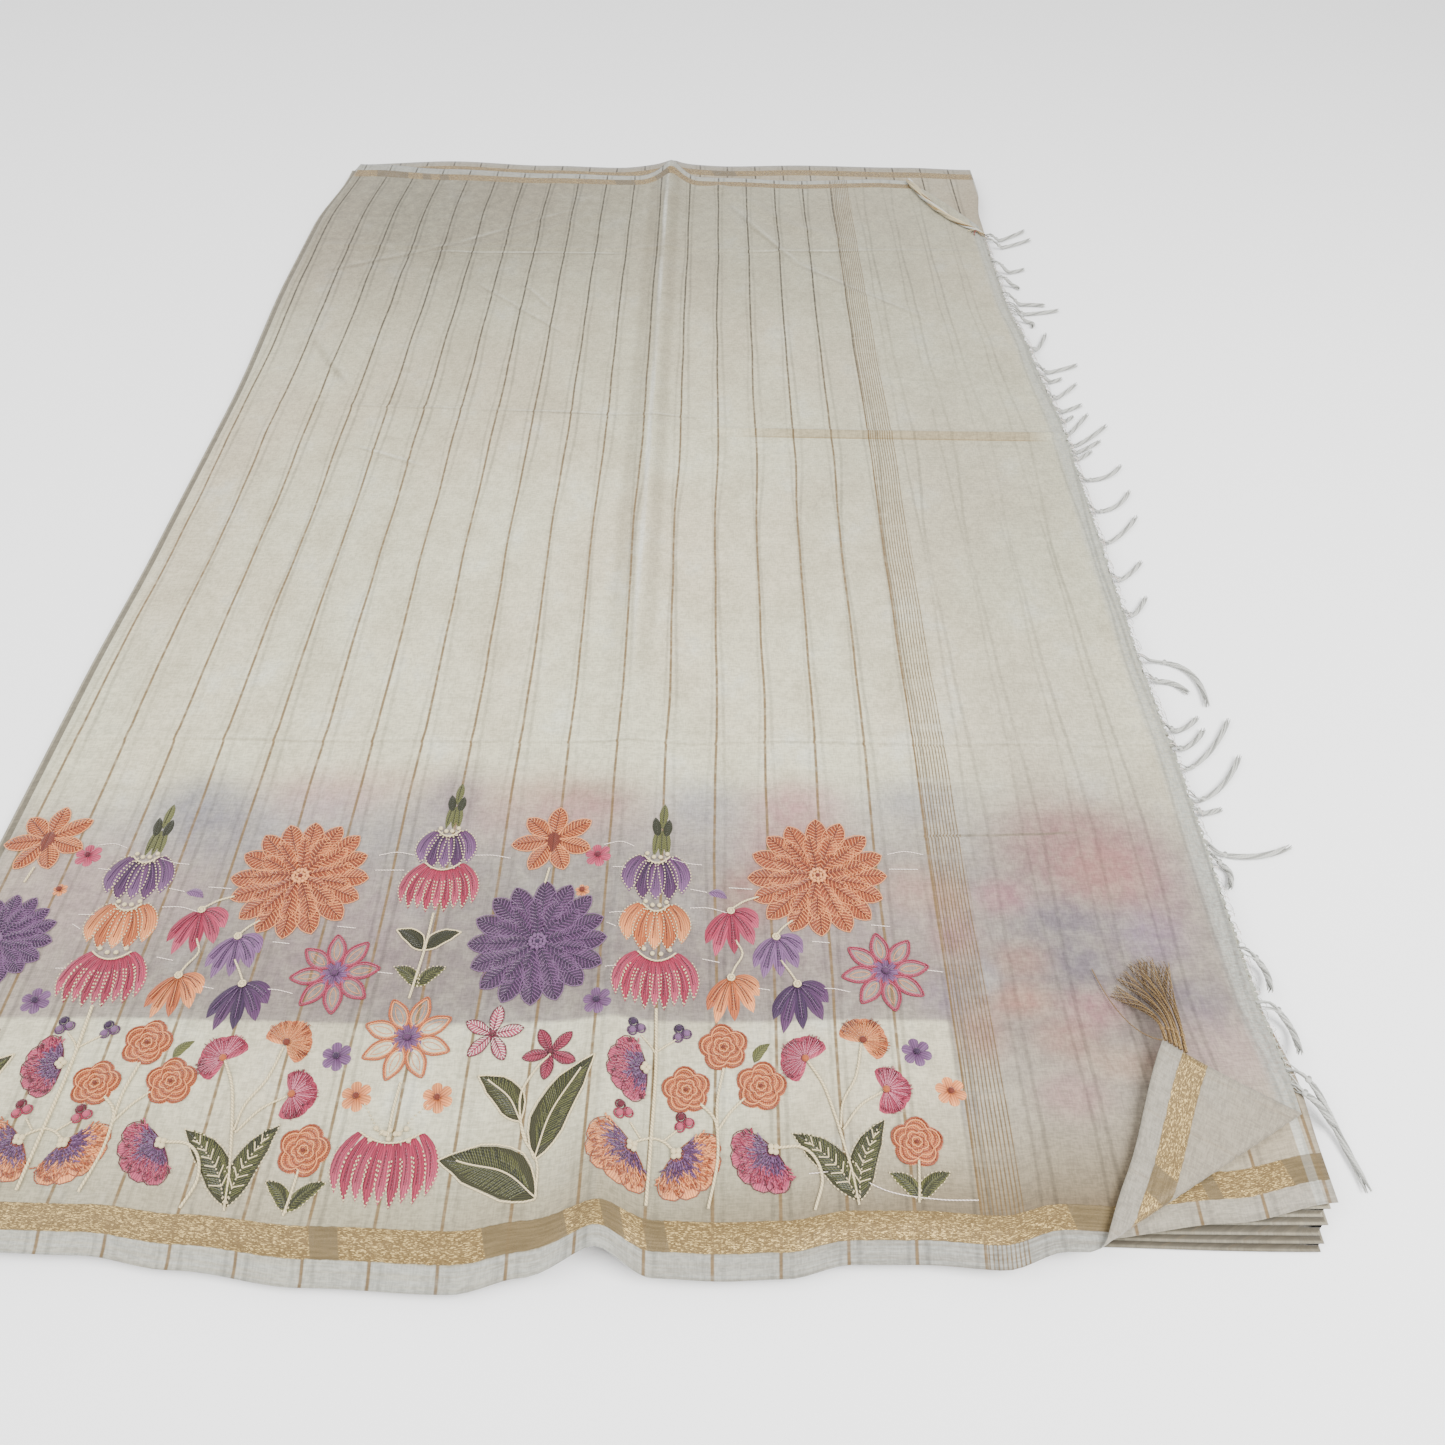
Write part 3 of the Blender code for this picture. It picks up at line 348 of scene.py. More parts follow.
pile_points, pile_flat, pile_faces = [], [], []
pile_rings = 0
for layer, edges in enumerate(LAYER_EDGES):
    row = dict(zip(LAYER_COLUMNS, (value * MM for value in edges)))
    profile = ((0.0, 0.8),) + LAYER_PROFILE if layer == 0 else LAYER_PROFILE
    for share, inset in profile:
        ring, flat = pile_ring(row, (layer + share) * LAYER_HEIGHT, inset * MM, layer)
        pile_points += ring
        pile_flat += flat
        pile_rings += 1
around = 4 * PILE_STOPS
for ring_index in range(pile_rings - 1):
    for k in range(around):
        low, low_next = ring_index * around + k, ring_index * around + (k + 1) % around
        pile_faces.append((low, low_next, low_next + around, low + around))
pile_faces.append(tuple(range(around))[::-1])
pile_faces.append(tuple(range((pile_rings - 1) * around, pile_rings * around)))
hidden = Cloth("cotton silk, hidden layers", (189, 184, 171), 0.8)
shade_by_height(hidden)
weave_stripes(hidden, 0.3, FAINT_FIELD)
weave_grain(hidden)
folded_layers = make_piece("folded_layers", pile_points, pile_faces, hidden.finished(), pile_flat)
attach(folded_layers, "root")
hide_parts("hidden_layers")


# The second stretch
# The same cloth, one thickness down. It shows past the upper stretch at the far edge, along
# the right, and under the turned-up corner with its own gold zari border.

SWELL = 0.8 * MM
SWELL_ACROSS = 0.058
SWELL_LENGTHWAYS = 0.074
SWELL_BROAD = 0.19
RIDGE_U = -6.5 * MM
RIDGE_REACH = 12 * MM
RIDGE = (
    (-572, 8.0), (-535, 6.5), (-470, 3.6), (-300, 2.2), (0, 1.8), (300, 2.0), (430, 3.5),
    (510, 7.0), (545, 10.0),
)
SECOND_RIDGE_SHARE = 0.45
SECOND_NEAR = ((-353, -540), (150, -543), (186, -548), (207, -557), (272, -550), (324, -541), (331, -539))
SECOND_RIGHT = (
    (-517, 327), (-488, 328), (-440, 322), (-380, 316), (100, 314), (300, 309), (437, 311), (500, 318),
)
SECOND_FAR = (
    (-353, 566), (-250, 574), (-140, 563), (-60, 557), (-6, 566), (60, 560), (133, 563), (250, 558),
    (320, 552),
)
# A straight right edge, used only to look up the near and far edges
SECOND_ROUGH_RIGHT = 0.322
SECOND_COLUMNS = 110
SECOND_ROWS = 190
# How far the stretch's flat map lies to the left of its own u
SECOND_SHIFT = 158.8 * MM
CLOTH_THICKNESS = 0.3 * MM
ZARI_NEAR = (10.5 * MM, 23 * MM)
ZARI_FAR = (12 * MM, 25.5 * MM)
# Runs of the near zari that are woven plain, along u in millimetres
PLAIN_ZARI = ((-134, -121), (-57, -21), (-5, 4), (14, 24), (205, 226), (248, 262))
SECOND_PLAIN_ZARI = ((109, 116), (150, 175))
# Gold threads' facets per metre along u and v
FOIL_FACETS = (950.0, 4200.0, 1.0)
ZARI_GOLD = dye(171, 154, 118)
ZARI_PLAIN = dye(158, 145, 116)
ZARI_PLAIN_LIGHT = dye(170, 157, 129)
ZARI_DARK = dye(152, 136, 102)
ZARI_PAINTED_GLINT = dye(228, 212, 172)
COOL_WHITE = (203, 204, 200)


def past_roll(u):
    """Share of the cloth's unevenness that shows at u: none on the rolled left fold."""
    return ease((u - ROLL_U) / (3 * ROLL_RADIUS))


def swell(u, v):
    """Broad unevenness that both upper stretches share."""
    across = np.sin(u / SWELL_ACROSS + 1.1)
    lengthways = np.sin(v / SWELL_LENGTHWAYS + 0.4) * np.cos(u / SWELL_BROAD)
    return past_roll(u) * SWELL * (2 + across + lengthways) / 4


def ridge(u, v):
    """The pressed middle fold, highest at the two borders."""
    return along(RIDGE, v) * (1 + ((u - RIDGE_U) / RIDGE_REACH) ** 2) ** -1.5


def second_middle(u, v):
    """Points of the middle of the second stretch."""
    z = SECOND_Z + swell(u, v) + SECOND_RIDGE_SHARE * ridge(u, v)
    return np.stack([u + left_pull(u, v), v, z], axis=-1)


def off_surface(middle, u, v, rise):
    """Points moved off a surface along its normal."""
    step = 0.2 * MM
    across = middle(u + step, v) - middle(u - step, v)
    lengthways = middle(u, v + step) - middle(u, v - step)
    normal = np.cross(across, lengthways)
    normal /= np.linalg.norm(normal, axis=-1, keepdims=True)
    return middle(u, v) + normal * np.asarray(rise, float)[..., None]


def grid_faces(rows, columns):
    """Faces of a grid whose points run along u, row after row."""
    faces = []
    for row in range(rows - 1):
        for column in range(columns - 1):
            corner = row * columns + column
            faces.append((corner, corner + 1, corner + 1 + columns, corner + columns))
    return faces


def give_thickness(piece, wrong_side):
    """Turn a cloth's outer face into a thin closed cloth with its wrong side below."""
    piece.data.materials.append(wrong_side)
    solidify = piece.modifiers.new("thickness", "SOLIDIFY")
    solidify.thickness = CLOTH_THICKNESS
    solidify.offset = -1.0
    solidify.material_offset = 1
    solidify.material_offset_rim = 0
    settle(piece)


def settle(piece):
    """Turn a piece with its modifiers into a plain mesh."""
    evaluated = piece.evaluated_get(bpy.context.evaluated_depsgraph_get())
    mesh = bpy.data.meshes.new_from_object(evaluated)
    piece.modifiers.clear()
    piece.data = mesh


def whiten_selvedges(cloth, colour, most):
    """The plain woven edges outside both zari borders."""
    near_white = cloth.step(cloth.from_near, ZARI_NEAR[0] - 0.4 * MM, ZARI_NEAR[0] + 0.2 * MM, 1.0, 0.0)
    far_white = cloth.step(cloth.from_far, ZARI_FAR[0] - 0.4 * MM, ZARI_FAR[0] + 0.2 * MM, 1.0, 0.0)
    streaks = cloth.step(cloth.grains(16, 700), 0.35, 0.65, 0.45, most)
    cloth.mark(cloth.times(cloth.calc("MAXIMUM", near_white, far_white), streaks), colour)


def weave_zari(cloth, plain_runs, strip=None):
    """The gold border near both edges, with glints painted on its metal threads but for its plain runs."""
    ragged = cloth.calc("MULTIPLY_ADD", cloth.grains(300, 40, 1.0), 1.0 * MM, -0.5 * MM)
    near = cloth.calc("ADD", cloth.from_near, ragged)
    near_border = cloth.between(near, *ZARI_NEAR, 0.5 * MM)
    border = cloth.calc("MAXIMUM", near_border, cloth.between(cloth.from_far, *ZARI_FAR, 0.5 * MM))
    slant = cloth.calc("MULTIPLY_ADD", near, 0.25, cloth.calc("SUBTRACT", cloth.u, 4 * MM))
    plain = 0.0
    for low, high in plain_runs:
        plain = cloth.calc("MAXIMUM", plain, cloth.between(slant, low * MM, high * MM, 0.8 * MM))
    woven = cloth.calc("SUBTRACT", 1.0, plain)
    places = cloth.add("ShaderNodeVectorMath", {0: cloth.flat, 1: FOIL_FACETS}, operation="MULTIPLY")
    foil = cloth.add("ShaderNodeTexVoronoi", {"Vector": places.outputs[0], "Scale": 1.0})
    spark, thread = cloth.parts(foil.outputs["Color"])[:2]
    # Painted highlights: pale gold specks stand in for the glints of the metal threads, which are a little
    # more metallic there too
    glitter = cloth.times(cloth.step(spark, 0.62, 0.95, 0.0, 0.9), woven)
    satin = cloth.step(cloth.grains(60, 900), 0.35, 0.65)
    gold = cloth.blend(plain, ZARI_GOLD, cloth.blend(satin, ZARI_PLAIN, ZARI_PLAIN_LIGHT))
    gold = cloth.blend(cloth.times(cloth.step(thread, 0.45, 0.9, 0.0, 0.6), woven), gold, ZARI_DARK)
    gold = cloth.blend(glitter, gold, ZARI_PAINTED_GLINT)
    through = cloth.step(cloth.calc("ADD", cloth.stripes, cloth.lines), 0.2, 0.9, 1.0, 0.72)
    gold = cloth.blend(through, dye(*STRIPE_BROWN), gold)
    if strip is not None:
        gold = cloth.blend(cloth.times(strip, 0.3), gold, dye(*COOL_WHITE))
    cloth.mark(border, gold)
    cloth.give("Metallic", cloth.times(border, cloth.calc("MULTIPLY_ADD", glitter, 0.3, 0.15)))
    cloth.give("Roughness", cloth.step(border, 0.0, 1.0, CLOTH_ROUGHNESS, 0.42))
    cloth.height = cloth.calc("ADD", cloth.height, cloth.times(border, spark, 1.6))


share_u, share_v = np.meshgrid(np.linspace(0, 1, SECOND_COLUMNS), np.linspace(0, 1, SECOND_ROWS))
second_left = SECOND_FAR[0][0] * MM
guess_u = second_left + share_u * (SECOND_ROUGH_RIGHT - second_left)
second_near = along(SECOND_NEAR, guess_u)
second_far = along(SECOND_FAR, guess_u)
second_v = second_near + (second_far - second_near) * share_v
second_u = second_left + share_u * (along(SECOND_RIGHT, second_v) - second_left)
second_points = off_surface(second_middle, second_u, second_v, np.full(second_u.shape, WALL / 2))
second_flat = np.stack([second_u - SECOND_SHIFT, NEAR_V + share_v * (FAR_V - NEAR_V)], axis=-1)
second = Cloth("cotton silk, second stretch", (180, 170, 157), 0.66)
pale_strip = second.between(second.u, 158 * MM, 162.6 * MM, 0.6 * MM)
second.mark(second.times(pale_strip, 0.75), (218, 218, 212))
whiten_selvedges(second, (187, 184, 178), 0.5)
weave_stripes(second, 0.8)
weave_grain(second)
weave_zari(second, SECOND_PLAIN_ZARI, pale_strip)
wrong = Cloth("cotton silk, wrong side", (183, 177, 167), 0.88)
whiten_selvedges(wrong, (191, 188, 181), 0.5)
weave_stripes(wrong, 0.1, FAINT_FIELD)
weave_grain(wrong)
weave_zari(wrong, PLAIN_ZARI)
wrong_side = wrong.finished()
lower_cloth = make_piece(
    "lower_cloth", second_points.reshape(-1, 3), grid_faces(SECOND_ROWS, SECOND_COLUMNS),
    second.finished(), second_flat.reshape(-1, 2),
)
give_thickness(lower_cloth, wrong_side)
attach(lower_cloth, "root")
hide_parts("second_stretch")


# The upper stretch
# The free end of the sari, a sheer cotton silk with woven brown and gold stripes and a zari
# border at both edges. Its left edge is a fold, its near right corner is turned up.

NEAR_PULL = (
    (-372, 5), (-300, 12), (-237, 10), (-194, 4), (-135, -3), (-70, -6), (-40, 0), (-8, 10),
    (18, 0), (47, -1), (76, 0), (106, 6), (137, 6), (174, 3), (200, 10), (250, 7), (321, 0),
)
FAR_PULL = (
    (-372, 22), (-340, 18), (-250, 5), (-136, -6), (-40, -13), (-6, 4), (24, -17), (54, -18),
    (130, -25), (216, -20), (252, -24), (321, -24),
)
FREE_PULL = (
    (-572, 0), (-490, 3), (-440, -1), (-313, 0), (-185, -2), (60, 0), (180, -6), (270, -13),
    (405, -14), (545, -14),
)
CREASES = (
    (0.9, 4.0, ((-390, -262), (340, -268))),
    (0.9, 4.0, ((-390, 100), (-180, 92), (36, 59))),
    (3.2, 3.6, ((36, 59), (180, 55), (340, 52))),
    (0.9, 4.0, ((-390, 374), (340, 362))),
    (2.4, 6.0, ((46, 515), (117, 420), (170, 386))),
    (2.0, 6.0, ((61, 458), (118, 338), (174, 278), (234, 235))),
    (1.2, 11.0, ((-252, 316), (-281, 168), (-311, 70), (-350, -8))),
    (1.0, 4.5, ((-225, 358), (-134, 402), (-77, 447))),
    (0.9, 3.5, ((189, -20), (288, -24))),
)
HANG = (
    (-356, 0), (-325, 4), (-237, 5), (-135, 6.5), (-60, 6), (-32, 3), (-6, 0), (20, 4), (60, 5),
    (140, 5), (168, 3), (185, 0),
)
HANG_REACH = 19 * MM
ROLL_DROP = 1.2 * MM
LEFT_U = ROLL_U - math.pi / 2 * ROLL_RADIUS - ROLL_DROP
TURN_X = 203.5 * MM
TURN_Y = -565.5 * MM
TURN_ANGLE = math.radians(29.1)
TURN_RADIUS = 2.2 * MM
TURN_LIFT = 8 * MM
TURN_DEPTH = 64 * MM
TURN_OUT = (math.sin(TURN_ANGLE), -math.cos(TURN_ANGLE))
TWIST_START = (252 * MM, FAR_V)
TWIST_END = (FREE_END_U, 419 * MM)
# Where the cloth starts to narrow towards the twisted corner
TWIST_FROM = 180 * MM
BAND_END = 184.0 * MM
BAND_LINE_STEP = 1.9 * MM
TUCK_SLOPE = 0.0235
# The edge of an under layer that shows through as a line
UNDER_LINE_V = -453.5 * MM
# Pressed creases, shown as painted highlight and painted shade: both ends and width in millimetres, and how
# light and dark
CREASE_LINES = (
    (-346, 314, -180, 394, 5.0, 0.15, 0.5), (-225, 370, -96, 460, 4.6, 0.26, 0.45),
    (-250, 361, -32, 359, 2.6, 0.35, 0.5), (20, 362, 300, 366, 2.6, 0.35, 0.4),
    (-274, 97, -150, 89, 2.2, 0.3, 0.45), (-155, 90, 46, 77, 2.2, 0.35, 0.45),
    (-440, -265, 390, -271, 1.8, 0.1, 0.35), (150, -340, 262, -336, 1.6, 0.0, 0.7),
    (52, 474, 128, 322, 4.2, 0.25, 0.4), (104, 352, 246, 222, 4.2, 0.22, 0.38),
    (-190, 308, -86, 204, 3.2, 0.15, 0.3), (-142, 304, -103, 249, 3.0, 0.2, 0.2),
    (-248, 41, -180, 12, 2.8, 0.35, 0.25), (-318, 214, -262, 120, 5.5, 0.1, 0.4),
)
# Steps of the cloth's mesh: from, to and step, in millimetres
COLUMN_RUNS = ((-356, -332, 3), (-332, -32, 5), (-32, 20, 2.4), (20, 215, 5), (215, 320.5, 2.7))
ROW_RUNS = (
    (-572.5, -480, 2.9), (-480, -272, 5), (-272, -256, 2.3), (-256, 45, 5), (45, 68, 2.1),
    (68, 360, 5), (360, 378, 2.3), (378, 545, 5),
)


def distance_to(route, u, v):
    """Distance from places to a line of straight runs, all in millimetres."""
    best = np.full(np.shape(u), np.inf)
    for (u0, v0), (u1, v1) in zip(route, route[1:]):
        run_u, run_v = u1 - u0, v1 - v0
        t = ((u - u0) * run_u + (v - v0) * run_v) / (run_u ** 2 + run_v ** 2)
        t = np.clip(t, 0.0, 1.0)
        best = np.minimum(best, np.hypot(u - u0 - t * run_u, v - v0 - t * run_v))
    return best


def crease(u, v):
    """The highest of the storage folds and creases at each place."""
    best = np.zeros(np.shape(u))
    for height, reach, route in CREASES:
        away = distance_to(route, u / MM, v / MM) / reach
        best = np.maximum(best, height * MM * np.exp(-away * away))
    return best


def pulled(u, v):
    """Where flat places lie in plan, with the edges pulled out of true."""
    x = u + left_pull(u, v)
    x = x + along(FREE_PULL, v) * np.exp(-np.abs(FREE_END_U - u) / PULL_REACH)
    y = v + along(NEAR_PULL, u) * np.exp(-np.abs(v - NEAR_V) / PULL_REACH)
    y = y + along(FAR_PULL, u) * np.exp(-np.abs(FAR_V - v) / PULL_REACH)
    return x, y


def top_middle(u, v):
    """Points of the middle of the upper wall."""
    x, y = pulled(u, v)
    hang = along(HANG, u) * ease((NEAR_V + HANG_REACH - v) / HANG_REACH)
    z = TOP_Z + swell(u, v) + ridge(u, v) + past_roll(u) * crease(u, v) - hang
    run = np.maximum(ROLL_U - u, 0.0)
    angle = np.minimum(run / ROLL_RADIUS, math.pi / 2)
    x = x + run - ROLL_RADIUS * np.sin(angle)
    z = z - ROLL_RADIUS * (1 - np.cos(angle)) - run + ROLL_RADIUS * angle
    beyond = np.maximum((x - TURN_X) * TURN_OUT[0] + (y - TURN_Y) * TURN_OUT[1], 0.0)
    angle = np.minimum(beyond / TURN_RADIUS, math.pi)
    rolled = TURN_RADIUS * np.sin(angle) - beyond
    laid_back = TURN_RADIUS * (np.sin(angle) + angle) - 2 * beyond
    back = np.where(angle < math.pi, rolled, laid_back)
    z = z + TURN_RADIUS * (1 - np.cos(angle)) + TURN_LIFT * (beyond / TURN_DEPTH) ** 2
    return np.stack([x + back * TURN_OUT[0], y + back * TURN_OUT[1], z], axis=-1)


def stops_of(runs):
    """Evenly spaced stops along each run, in metres."""
    stops = [runs[0][0]]
    for start, end, step in runs:
        count = round((end - start) / step)
        stops += [start + (end - start) * (k + 1) / count for k in range(count)]
    return np.array(stops) * MM


# Colours of the lower layers that show through, and broad painted shade: centre, radii in millimetres, share,
# colour
SEEN_THROUGH_AND_SHADE = (
    (-60, -376, 420, 66, 0.8, (165, 157, 159)),
    (-60, -440, 420, 44, 0.8, (161, 149, 148)),
    (-170, -300, 60, 14, 0.25, (206, 168, 160)),
    (-60, -318, 60, 26, 0.42, (202, 156, 146)),
    (90, -345, 30, 40, 0.55, (204, 150, 142)),
    (258, -410, 105, 120, 0.74, (172, 163, 160)),
    (235, -500, 80, 50, 0.5, (178, 168, 156)),
    # Painted shade, in the next five: broad darker cloth over the far half
    (-250, 500, 260, 270, 0.78, (160, 155, 143)),
    (-20, 330, 260, 260, 0.3, (186, 180, 165)),
    (190, 500, 260, 240, 0.6, (178, 175, 163)),
    (265, 60, 160, 320, 0.5, (186, 184, 172)),
    (-240, 60, 90, 260, 0.2, (194, 188, 172)),
    (-200, -330, 120, 26, 0.32, (190, 190, 196)),
    (60, -330, 120, 24, 0.25, (196, 188, 192)),
    (246, -347, 40, 34, 0.8, (192, 152, 148)),
    (262, -365, 26, 20, 0.4, (214, 168, 150)),
    (286, -370, 18, 40, 0.4, (196, 158, 164)),
    (201, -380, 15, 11, 0.6, (206, 154, 164)),
    (236, -448, 16, 11, 0.6, (208, 158, 164)),
    (216, -495, 16, 12, 0.55, (200, 158, 164)),
    (232, -395, 24, 13, 0.66, (150, 150, 164)),
    (234, -422, 17, 12, 0.72, (146, 146, 162)),
    (281, -441, 20, 10, 0.5, (164, 156, 168)),
    (277, -404, 18, 16, 0.5, (178, 166, 190)),
    (205, -420, 16, 10, 0.5, (206, 166, 144)),
    (201, -443, 16, 9, 0.5, (220, 170, 140)),
    (219, -464, 16, 11, 0.55, (204, 160, 144)),
    (245, -478, 22, 9, 0.4, (214, 186, 160)),
    (290, -470, 30, 22, 0.3, (214, 186, 190)),
    (161, -313, 26, 16, 0.38, (168, 172, 188)),
    (171, -404, 12, 15, 0.55, (204, 158, 156)),
    (172, -380, 10, 12, 0.5, (206, 176, 144)),
    (178, -461, 12, 15, 0.5, (204, 158, 142)),
    (161, -440, 12, 12, 0.5, (178, 166, 182)),
    (187, -428, 4, 11, 0.6, (206, 208, 208)),
    (294, -445, 15, 14, 0.5, (164, 160, 168)),
    (61, -381, 15, 22, 0.7, (190, 158, 140)),
    (-236, -335, 30, 20, 0.6, (174, 168, 168)),
    (-29, -312, 22, 14, 0.5, (186, 166, 156)),
    (154, -375, 18, 16, 0.36, (218, 182, 160)),
    (157, -500, 15, 10, 0.35, (168, 166, 186)),
    (92, -314, 26, 14, 0.36, (212, 178, 182)),
    (-184, -314, 34, 16, 0.45, (204, 172, 172)),
    (-33, -321, 24, 12, 0.30, (212, 178, 180)),
    (-254, -316, 26, 22, 0.6, (162, 162, 172)),
    (-108, -312, 18, 22, 0.6, (158, 160, 170)),
    (36, -316, 22, 18, 0.35, (164, 168, 184)),
    (-290, -380, 60, 40, 0.30, (206, 180, 184)),
    (-320, -480, 60, 60, 0.20, (206, 192, 190)),
    (-150, -400, 40, 40, 0.22, (204, 182, 184)),
    (120, -400, 60, 40, 0.22, (206, 186, 186)),
    (-60, -500, 300, 50, 0.4, (192, 193, 190)),
    # Painted shade, in the next three: darker beside the left fold and over the far half
    (-330, 150, 30, 400, 0.2, (196, 186, 176)),
    (-100, 120, 170, 90, 0.16, (186, 181, 164)),
    (40, 300, 120, 70, 0.2, (184, 180, 166)),
    (250, -250, 60, 60, 0.2, (206, 200, 192)),
)


def under_colours_and_shade(u, v):
    """The colour and share of what shows through the cloth at each place, and of the painted shade."""
    total = np.zeros((*np.shape(u), 3))
    weight = np.zeros(np.shape(u))
    clear = np.ones(np.shape(u))
    for centre_u, centre_v, radius_u, radius_v, share, colour in SEEN_THROUGH_AND_SHADE:
        away = ((u / MM - centre_u) / radius_u) ** 2 + ((v / MM - centre_v) / radius_v) ** 2
        here = share * np.exp(-away ** 1.5)
        total += here[..., None] * np.array(dye(*colour)[:3])
        weight += here
        clear *= 1 - here
    colours = total / np.maximum(weight, 1e-6)[..., None]
    return np.concatenate([colours, (1 - clear)[..., None]], axis=-1)


def show_lower_layers_and_shade(cloth):
    """What lies below, through the sheer cloth, with broad painted shade among it, and the darker cloth
    beside the near border, which is partly the layers below and partly painted shade.
    """
    under = cloth.add("ShaderNodeAttribute", attribute_name="seen_through_and_shade").outputs
    mottle = cloth.step(cloth.grains(120, 90, 3.0, 0.6), 0.3, 0.65, 0.9, 1.06)
    left = cloth.step(cloth.u, 0.160, 0.164, 1.0, 0.0)
    lined = cloth.step(cloth.v, UNDER_LINE_V - 1.5 * MM, UNDER_LINE_V + 1.5 * MM, 0.8, 0.0)
    past_line = cloth.calc("SUBTRACT", 1.0, cloth.times(left, lined))
    cloth.mark(cloth.times(under["Alpha"], mottle, past_line), under["Color"])
    # Darker towards the near border: partly the layers below, partly painted shade
    low = cloth.step(cloth.v, -562 * MM, -484 * MM, 0.95, 0.0)
    cloth.mark(cloth.times(low, cloth.step(cloth.u, -0.2, 0.25, 0.6, 1.1)), (160, 148, 128))


def mark_tuck(cloth):
    """The sharp double fold that runs across to the free end."""
    place = cloth.calc("MULTIPLY_ADD", cloth.u, TUCK_SLOPE, cloth.v)
    tuck = cloth.times(cloth.between(place, 52.5 * MM, 60.5 * MM, 2.0 * MM), 0.62)
    tuck = cloth.calc("MAXIMUM", tuck, cloth.between(place, 52.0 * MM, 53.6 * MM, 1.0 * MM))
    start = cloth.step(cloth.u, 34 * MM, 110 * MM, 0.0, 0.85)
    end = cloth.step(cloth.u, 285 * MM, 312 * MM, 1.0, 0.0)
    cloth.mark(cloth.times(tuck, start, end), (186, 172, 142))


def fray_end(cloth):
    """The free end's last few millimetres, thinned out to a net."""
    frayed = cloth.step(cloth.u, FREE_END_U - 13 * MM, FREE_END_U - 6 * MM)
    net = cloth.step(cloth.grains(420, 900, 2.0, 0.7), 0.35, 0.6, 0.35, 0.9)
    cloth.mark(cloth.times(frayed, net), (198, 199, 194))


def shade_middle_fold(cloth):
    """Painted shade at both sides of the pressed middle fold, and a broken painted highlight along it."""
    fold = cloth.step(cloth.v, -0.28, -0.08, 0.1, 1.0)
    left = cloth.between(cloth.u, -28 * MM, -13 * MM, 8 * MM)
    right = cloth.between(cloth.u, -5 * MM, 4 * MM, 6 * MM)
    cloth.mark(cloth.times(cloth.calc("MAXIMUM", left, right), fold, 0.34), (168, 161, 144))
    glint = cloth.step(cloth.grains(60, 9, 3.0), 0.35, 0.6, 0.05, 0.5)
    shine = cloth.between(cloth.u, -11.5 * MM, -8 * MM, 2.5 * MM)
    cloth.mark(cloth.times(shine, glint, fold), (230, 231, 227))


def crease_light_and_shade(cloth):
    """Painted highlight on one side and painted shade on the other side of every crease line, which the
    stripes step round a little.
    """
    sway = cloth.grains(14, 14, 3.0)
    light, dark = 0.0, 0.0
    for *ends, width, light_share, dark_share in CREASE_LINES:
        u0, v0, u1, v1 = (value * MM for value in ends)
        length = math.hypot(u1 - u0, v1 - v0)
        run_u, run_v = (u1 - u0) / length, (v1 - v0) / length
        from_u, from_v = cloth.calc("SUBTRACT", cloth.u, u0), cloth.calc("SUBTRACT", cloth.v, v0)
        run = cloth.calc("MULTIPLY_ADD", from_u, run_u, cloth.times(from_v, run_v))
        away = cloth.calc("MULTIPLY_ADD", from_v, run_u, cloth.times(from_u, -run_v))
        away = cloth.calc("MULTIPLY_ADD", sway, 7 * MM, cloth.calc("SUBTRACT", away, 3.5 * MM))
        here = cloth.between(run, length * 0.12, length * 0.88, length * 0.24)
        reach = width * MM
        above = cloth.times(here, cloth.between(away, 0.0, reach, reach * 0.9), light_share)
        below = cloth.times(here, cloth.between(away, -reach, 0.0, reach * 0.9), dark_share)
        light = cloth.calc("MAXIMUM", light, above)
        dark = cloth.calc("MAXIMUM", dark, below)
    soft = cloth.step(cloth.grains(11, 11, 3.0), 0.36, 0.6, 0.3, 1.0)
    cloth.mark(cloth.times(dark, soft), (160, 153, 137))
    cloth.mark(cloth.times(light, soft), (224, 224, 216))
    cloth.warp_u = cloth.calc("MULTIPLY_ADD", cloth.calc("ADD", light, dark), 1.3 * MM, cloth.warp_u)


def weave_band(cloth):
    """Fine gold lines side by side, where the striped field ends."""
    band = cloth.between(cloth.u, STRIPE_U - 0.6 * MM, BAND_END, 0.6 * MM)
    ripple = cloth.calc("SINE", cloth.times(cloth.warp_u, 2 * math.pi / BAND_LINE_STEP))
    cloth.lines = cloth.times(cloth.step(ripple, -0.1, 0.85), band, cloth.breaks)
    cloth.mark(cloth.times(cloth.lines, 0.9), (160, 142, 108))


columns, rows_v = stops_of(COLUMN_RUNS), stops_of(ROW_RUNS)
columns[0] = LEFT_U
top_u, top_v = np.meshgrid(columns, rows_v)
twist_share = np.clip((top_v - TWIST_END[1]) / (TWIST_START[1] - TWIST_END[1]), 0.0, 1.0)
row_end = TWIST_END[0] + (TWIST_START[0] - TWIST_END[0]) * twist_share
narrowed = TWIST_FROM + (top_u - TWIST_FROM) * (row_end - TWIST_FROM) / (FREE_END_U - TWIST_FROM)
top_u = np.where(top_u > TWIST_FROM, narrowed, top_u)
top_points = off_surface(top_middle, top_u, top_v, np.full(top_u.shape, WALL / 2))
upper = Cloth("cotton silk, upper stretch", (219, 216, 200), 0.2)
show_lower_layers_and_shade(upper)
mark_tuck(upper)
fray_end(upper)
shade_middle_fold(upper)
crease_light_and_shade(upper)
